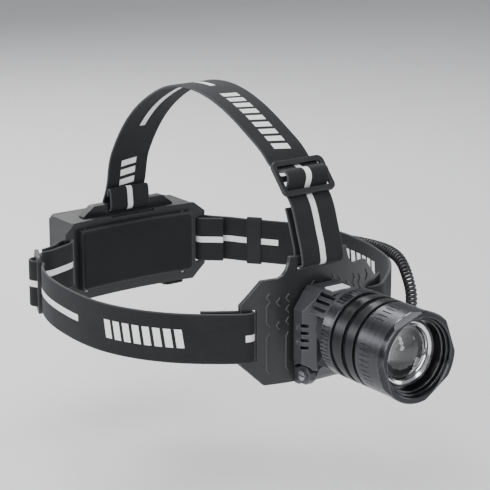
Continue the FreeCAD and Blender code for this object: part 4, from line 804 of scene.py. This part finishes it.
def slider(name, a, d, nrm, length, plane, node):
    hw, t = 18.6, 2.6
    cu = bpy.data.curves.new(name, "CURVE")
    cu.dimensions = "2D"
    cu.fill_mode = "BOTH"
    be = 0.55
    loops = [rounded(be, -hw + be, length - be, hw - be, 3.4)]
    for s0, s1 in ((3.6, length / 2 - 1.7), (length / 2 + 1.7, length - 3.6)):
        loops.append(rounded(s0 - be, -HALF_W - 0.5 - be, s1 + be, HALF_W + 0.5 + be, 1.3, 4))
    for lp in loops:
        sp = cu.splines.new("POLY")
        sp.points.add(len(lp) - 1)
        for p, (x, y) in zip(sp.points, lp):
            p.co = (x * MM, y * MM, 0, 1)
        sp.use_cyclic_u = True
    cu.extrude = (t / 2 - be) * MM
    cu.bevel_depth = be * MM
    cu.bevel_resolution = 3
    tmp = link(name + "_tmp", cu)
    dg = bpy.context.evaluated_depsgraph_get()
    me = bpy.data.meshes.new_from_object(tmp.evaluated_get(dg))
    bpy.data.objects.remove(tmp)
    me.name = name
    for v in me.vertices:
        s_, w_, o_ = v.co.x / MM, v.co.y / MM, v.co.z / MM
        p, q = local(a, d, nrm, s_, o_)
        v.co = to3(plane, p, q, w_)
    bm = bmesh.new()
    bm.from_mesh(me)
    bmesh.ops.remove_doubles(bm, verts=bm.verts, dist=2e-6)
    bmesh.ops.recalc_face_normals(bm, faces=bm.faces)
    bm.to_mesh(me)
    bm.free()
    me.materials.clear()
    me.materials.append(slider_black)
    me.polygons.foreach_set("use_smooth", [True] * len(me.polygons))
    o = link(name, me)
    md = o.modifiers.new("Normals", "WEIGHTED_NORMAL")
    md.keep_sharp = True
    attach(o, "frame")
    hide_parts(node)


slider("side_slider", SLA, dL, nL, mL, "z", "slider_left")
slider("crown_slider", STA, dT, nT, mT, "x", "slider_crown")


# ---------------------------------------------------------------------------
# Padded pieces: foam blocks with rolled edges and a crowned face
# ---------------------------------------------------------------------------
def pad(name, node, centre_y, r_in, r_out, x0, x1, z0, z1, back, crown, mat, channels=(), nx=72, nz=44, corner=3.0):
    """A slab on an upright arc about (0, centre_y); its free face swells by crown."""
    verts, faces = [], []
    sgn = 1 if back else -1

    def place(u, w, f, h):
        """u, w in -1..1 across the pad; f 0 at the fixed face, 1 at the free face."""
        cxm, czm = (x0 + x1) / 2, (z0 + z1) / 2
        hx, hz = (x1 - x0) / 2, (z1 - z0) / 2
        x, z = cxm + u * hx, czm + w * hz
        fixed, free = (r_out, r_in) if back else (r_out, r_in)
        r = fixed + (free - fixed) * f - h
        y = centre_y + sgn * math.sqrt(max(r * r - x * x, 0))
        return (x * MM, y * MM, z * MM)

    def prof(u, w):
        hx, hz = (x1 - x0) / 2, (z1 - z0) / 2
        du, dw = (1 - abs(u)) * hx, (1 - abs(w)) * hz
        d = min(du, dw)
        roll = math.sqrt(max(0.0, 1 - (1 - min(1.0, d / 2.0)) ** 2))
        swell = (1 - u ** 4) * (1 - w ** 4)
        g = 0.0
        for kind, at, wd, dep in channels:
            pos = u * hx if kind == "x" else w * hz
            g += dep * math.exp(-((pos - at) / wd) ** 2)
        return roll, crown * swell - g * min(1.0, d / 3.0)

    def warp(u, w):
        """Rounds the corners in plan."""
        hx, hz = (x1 - x0) / 2, (z1 - z0) / 2
        X, Z = abs(u) * hx, abs(w) * hz
        if X > hx - corner and Z > hz - corner:
            dx, dz = X - (hx - corner), Z - (hz - corner)
            m = max(dx, dz)
            n_ = math.hypot(dx, dz)
            if n_ > 0:
                dx, dz = dx * m / n_, dz * m / n_
            X, Z = hx - corner + dx, hz - corner + dz
        return math.copysign(X / hx, u), math.copysign(Z / hz, w)

    def grid(n):
        g = [math.sin(math.pi / 2 * (-1 + 2 * i / n)) for i in range(n + 1)]
        return [0.55 * a + 0.45 * (-1 + 2 * i / n) for i, a in enumerate(g)]

    gu, gw = grid(nx), grid(nz)
    idx = {}
    for layer in (0, 1):
        for i, u in enumerate(gu):
            for j, w in enumerate(gw):
                roll, h = prof(u, w)
                uu, ww = warp(u, w)
                idx[layer, i, j] = len(verts)
                verts.append(place(uu, ww, 0.02 if layer == 0 else 0.02 + 0.98 * max(roll, 0.0), h if layer else 0.0))
    for i in range(nx):
        for j in range(nz):
            faces.append((idx[1, i, j], idx[1, i + 1, j], idx[1, i + 1, j + 1], idx[1, i, j + 1]))
            faces.append((idx[0, i, j], idx[0, i, j + 1], idx[0, i + 1, j + 1], idx[0, i + 1, j]))
    me = bpy.data.meshes.new(name)
    me.from_pydata(verts, [], faces)
    bm = bmesh.new()
    bm.from_mesh(me)
    bmesh.ops.remove_doubles(bm, verts=bm.verts, dist=3e-5)
    bmesh.ops.recalc_face_normals(bm, faces=bm.faces)
    for f in bm.faces:
        f.smooth = True
    bm.to_mesh(me)
    bm.free()
    me.materials.append(mat)
    o = link(name, me)
    sub = o.modifiers.new("Smooth", "SUBSURF")
    sub.levels = sub.render_levels = 1
    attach(o, "frame")
    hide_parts(node)
    return o


pad("head_pad_soft", "head_pad", -203.0, 300.0, 301.2, -42.4, 42.4, -19.0, 19.8, True, 0.9, pad_m)
pad("front_liner_soft", "front_foam_liner", 17.0, 115.0 - 1.6 - 3.2, 115.0 - 1.6, -36.0, 36.0, -27.0, 29.0, False, 0.8, foam_m,
    channels=(("x", -12.0, 1.1, 1.0), ("x", 12.0, 1.1, 1.0)))


# ---------------------------------------------------------------------------
# Stage: pale floor and soft studio light
# ---------------------------------------------------------------------------
fl = bpy.data.meshes.new("floor")
zf = lo0.z - 0.084                       # clear of the lamp when it hangs straight down
fl.from_pydata([(-6, -6, zf), (6, -6, zf), (6, 6, zf), (-6, 6, zf)], [], [(0, 1, 2, 3)])
floor_m = Mat("floor_paper", (0.80, 0.80, 0.81), 0.75)
floor_m.rough(floor_m.span(floor_m.noise(3, 2), 0.3, 0.7, 0.70, 0.82))
fl.materials.append(floor_m.m)
floor = link("floor", fl)

world = bpy.data.worlds.new("studio")
scene.world = world
world.use_nodes = True
world.node_tree.nodes["Background"].inputs[0].default_value = (0.86, 0.88, 0.92, 1)
world.node_tree.nodes["Background"].inputs[1].default_value = 0.34


def area(name, at, to, size, power, col_=(1, 1, 1)):
    li = bpy.data.lights.new(name, "AREA")
    li.shape = "RECTANGLE"
    li.size, li.size_y = size
    li.energy = power
    li.color = col_
    o = link(name, li)
    o.location = at
    o.rotation_mode = "QUATERNION"
    o.rotation_quaternion = (Vector(at) - Vector(to)).to_track_quat("Z", "Y")
    return o


area("key_left", (-1.15, -0.50, 0.80), (0, -0.05, 0.0), (1.5, 1.1), 19)
area("top_soft", (0.05, 0.10, 1.35), (0, 0, 0), (1.0, 1.0), 12)
area("rim_back", (0.22, 1.10, 0.84), (0, -0.10, 0.02), (0.75, 0.5), 12)
area("band_back_left", (-0.80, 1.02, 0.40), (0, -0.13, 0.01), (0.34, 0.34), 4)
area("front_strip", (0.20, -1.45, 0.30), (0, -0.1, 0.0), (0.22, 0.9), 4)
area("right_fill", (1.30, -0.55, 0.45), (0, -0.05, 0.0), (0.8, 0.7), 5)
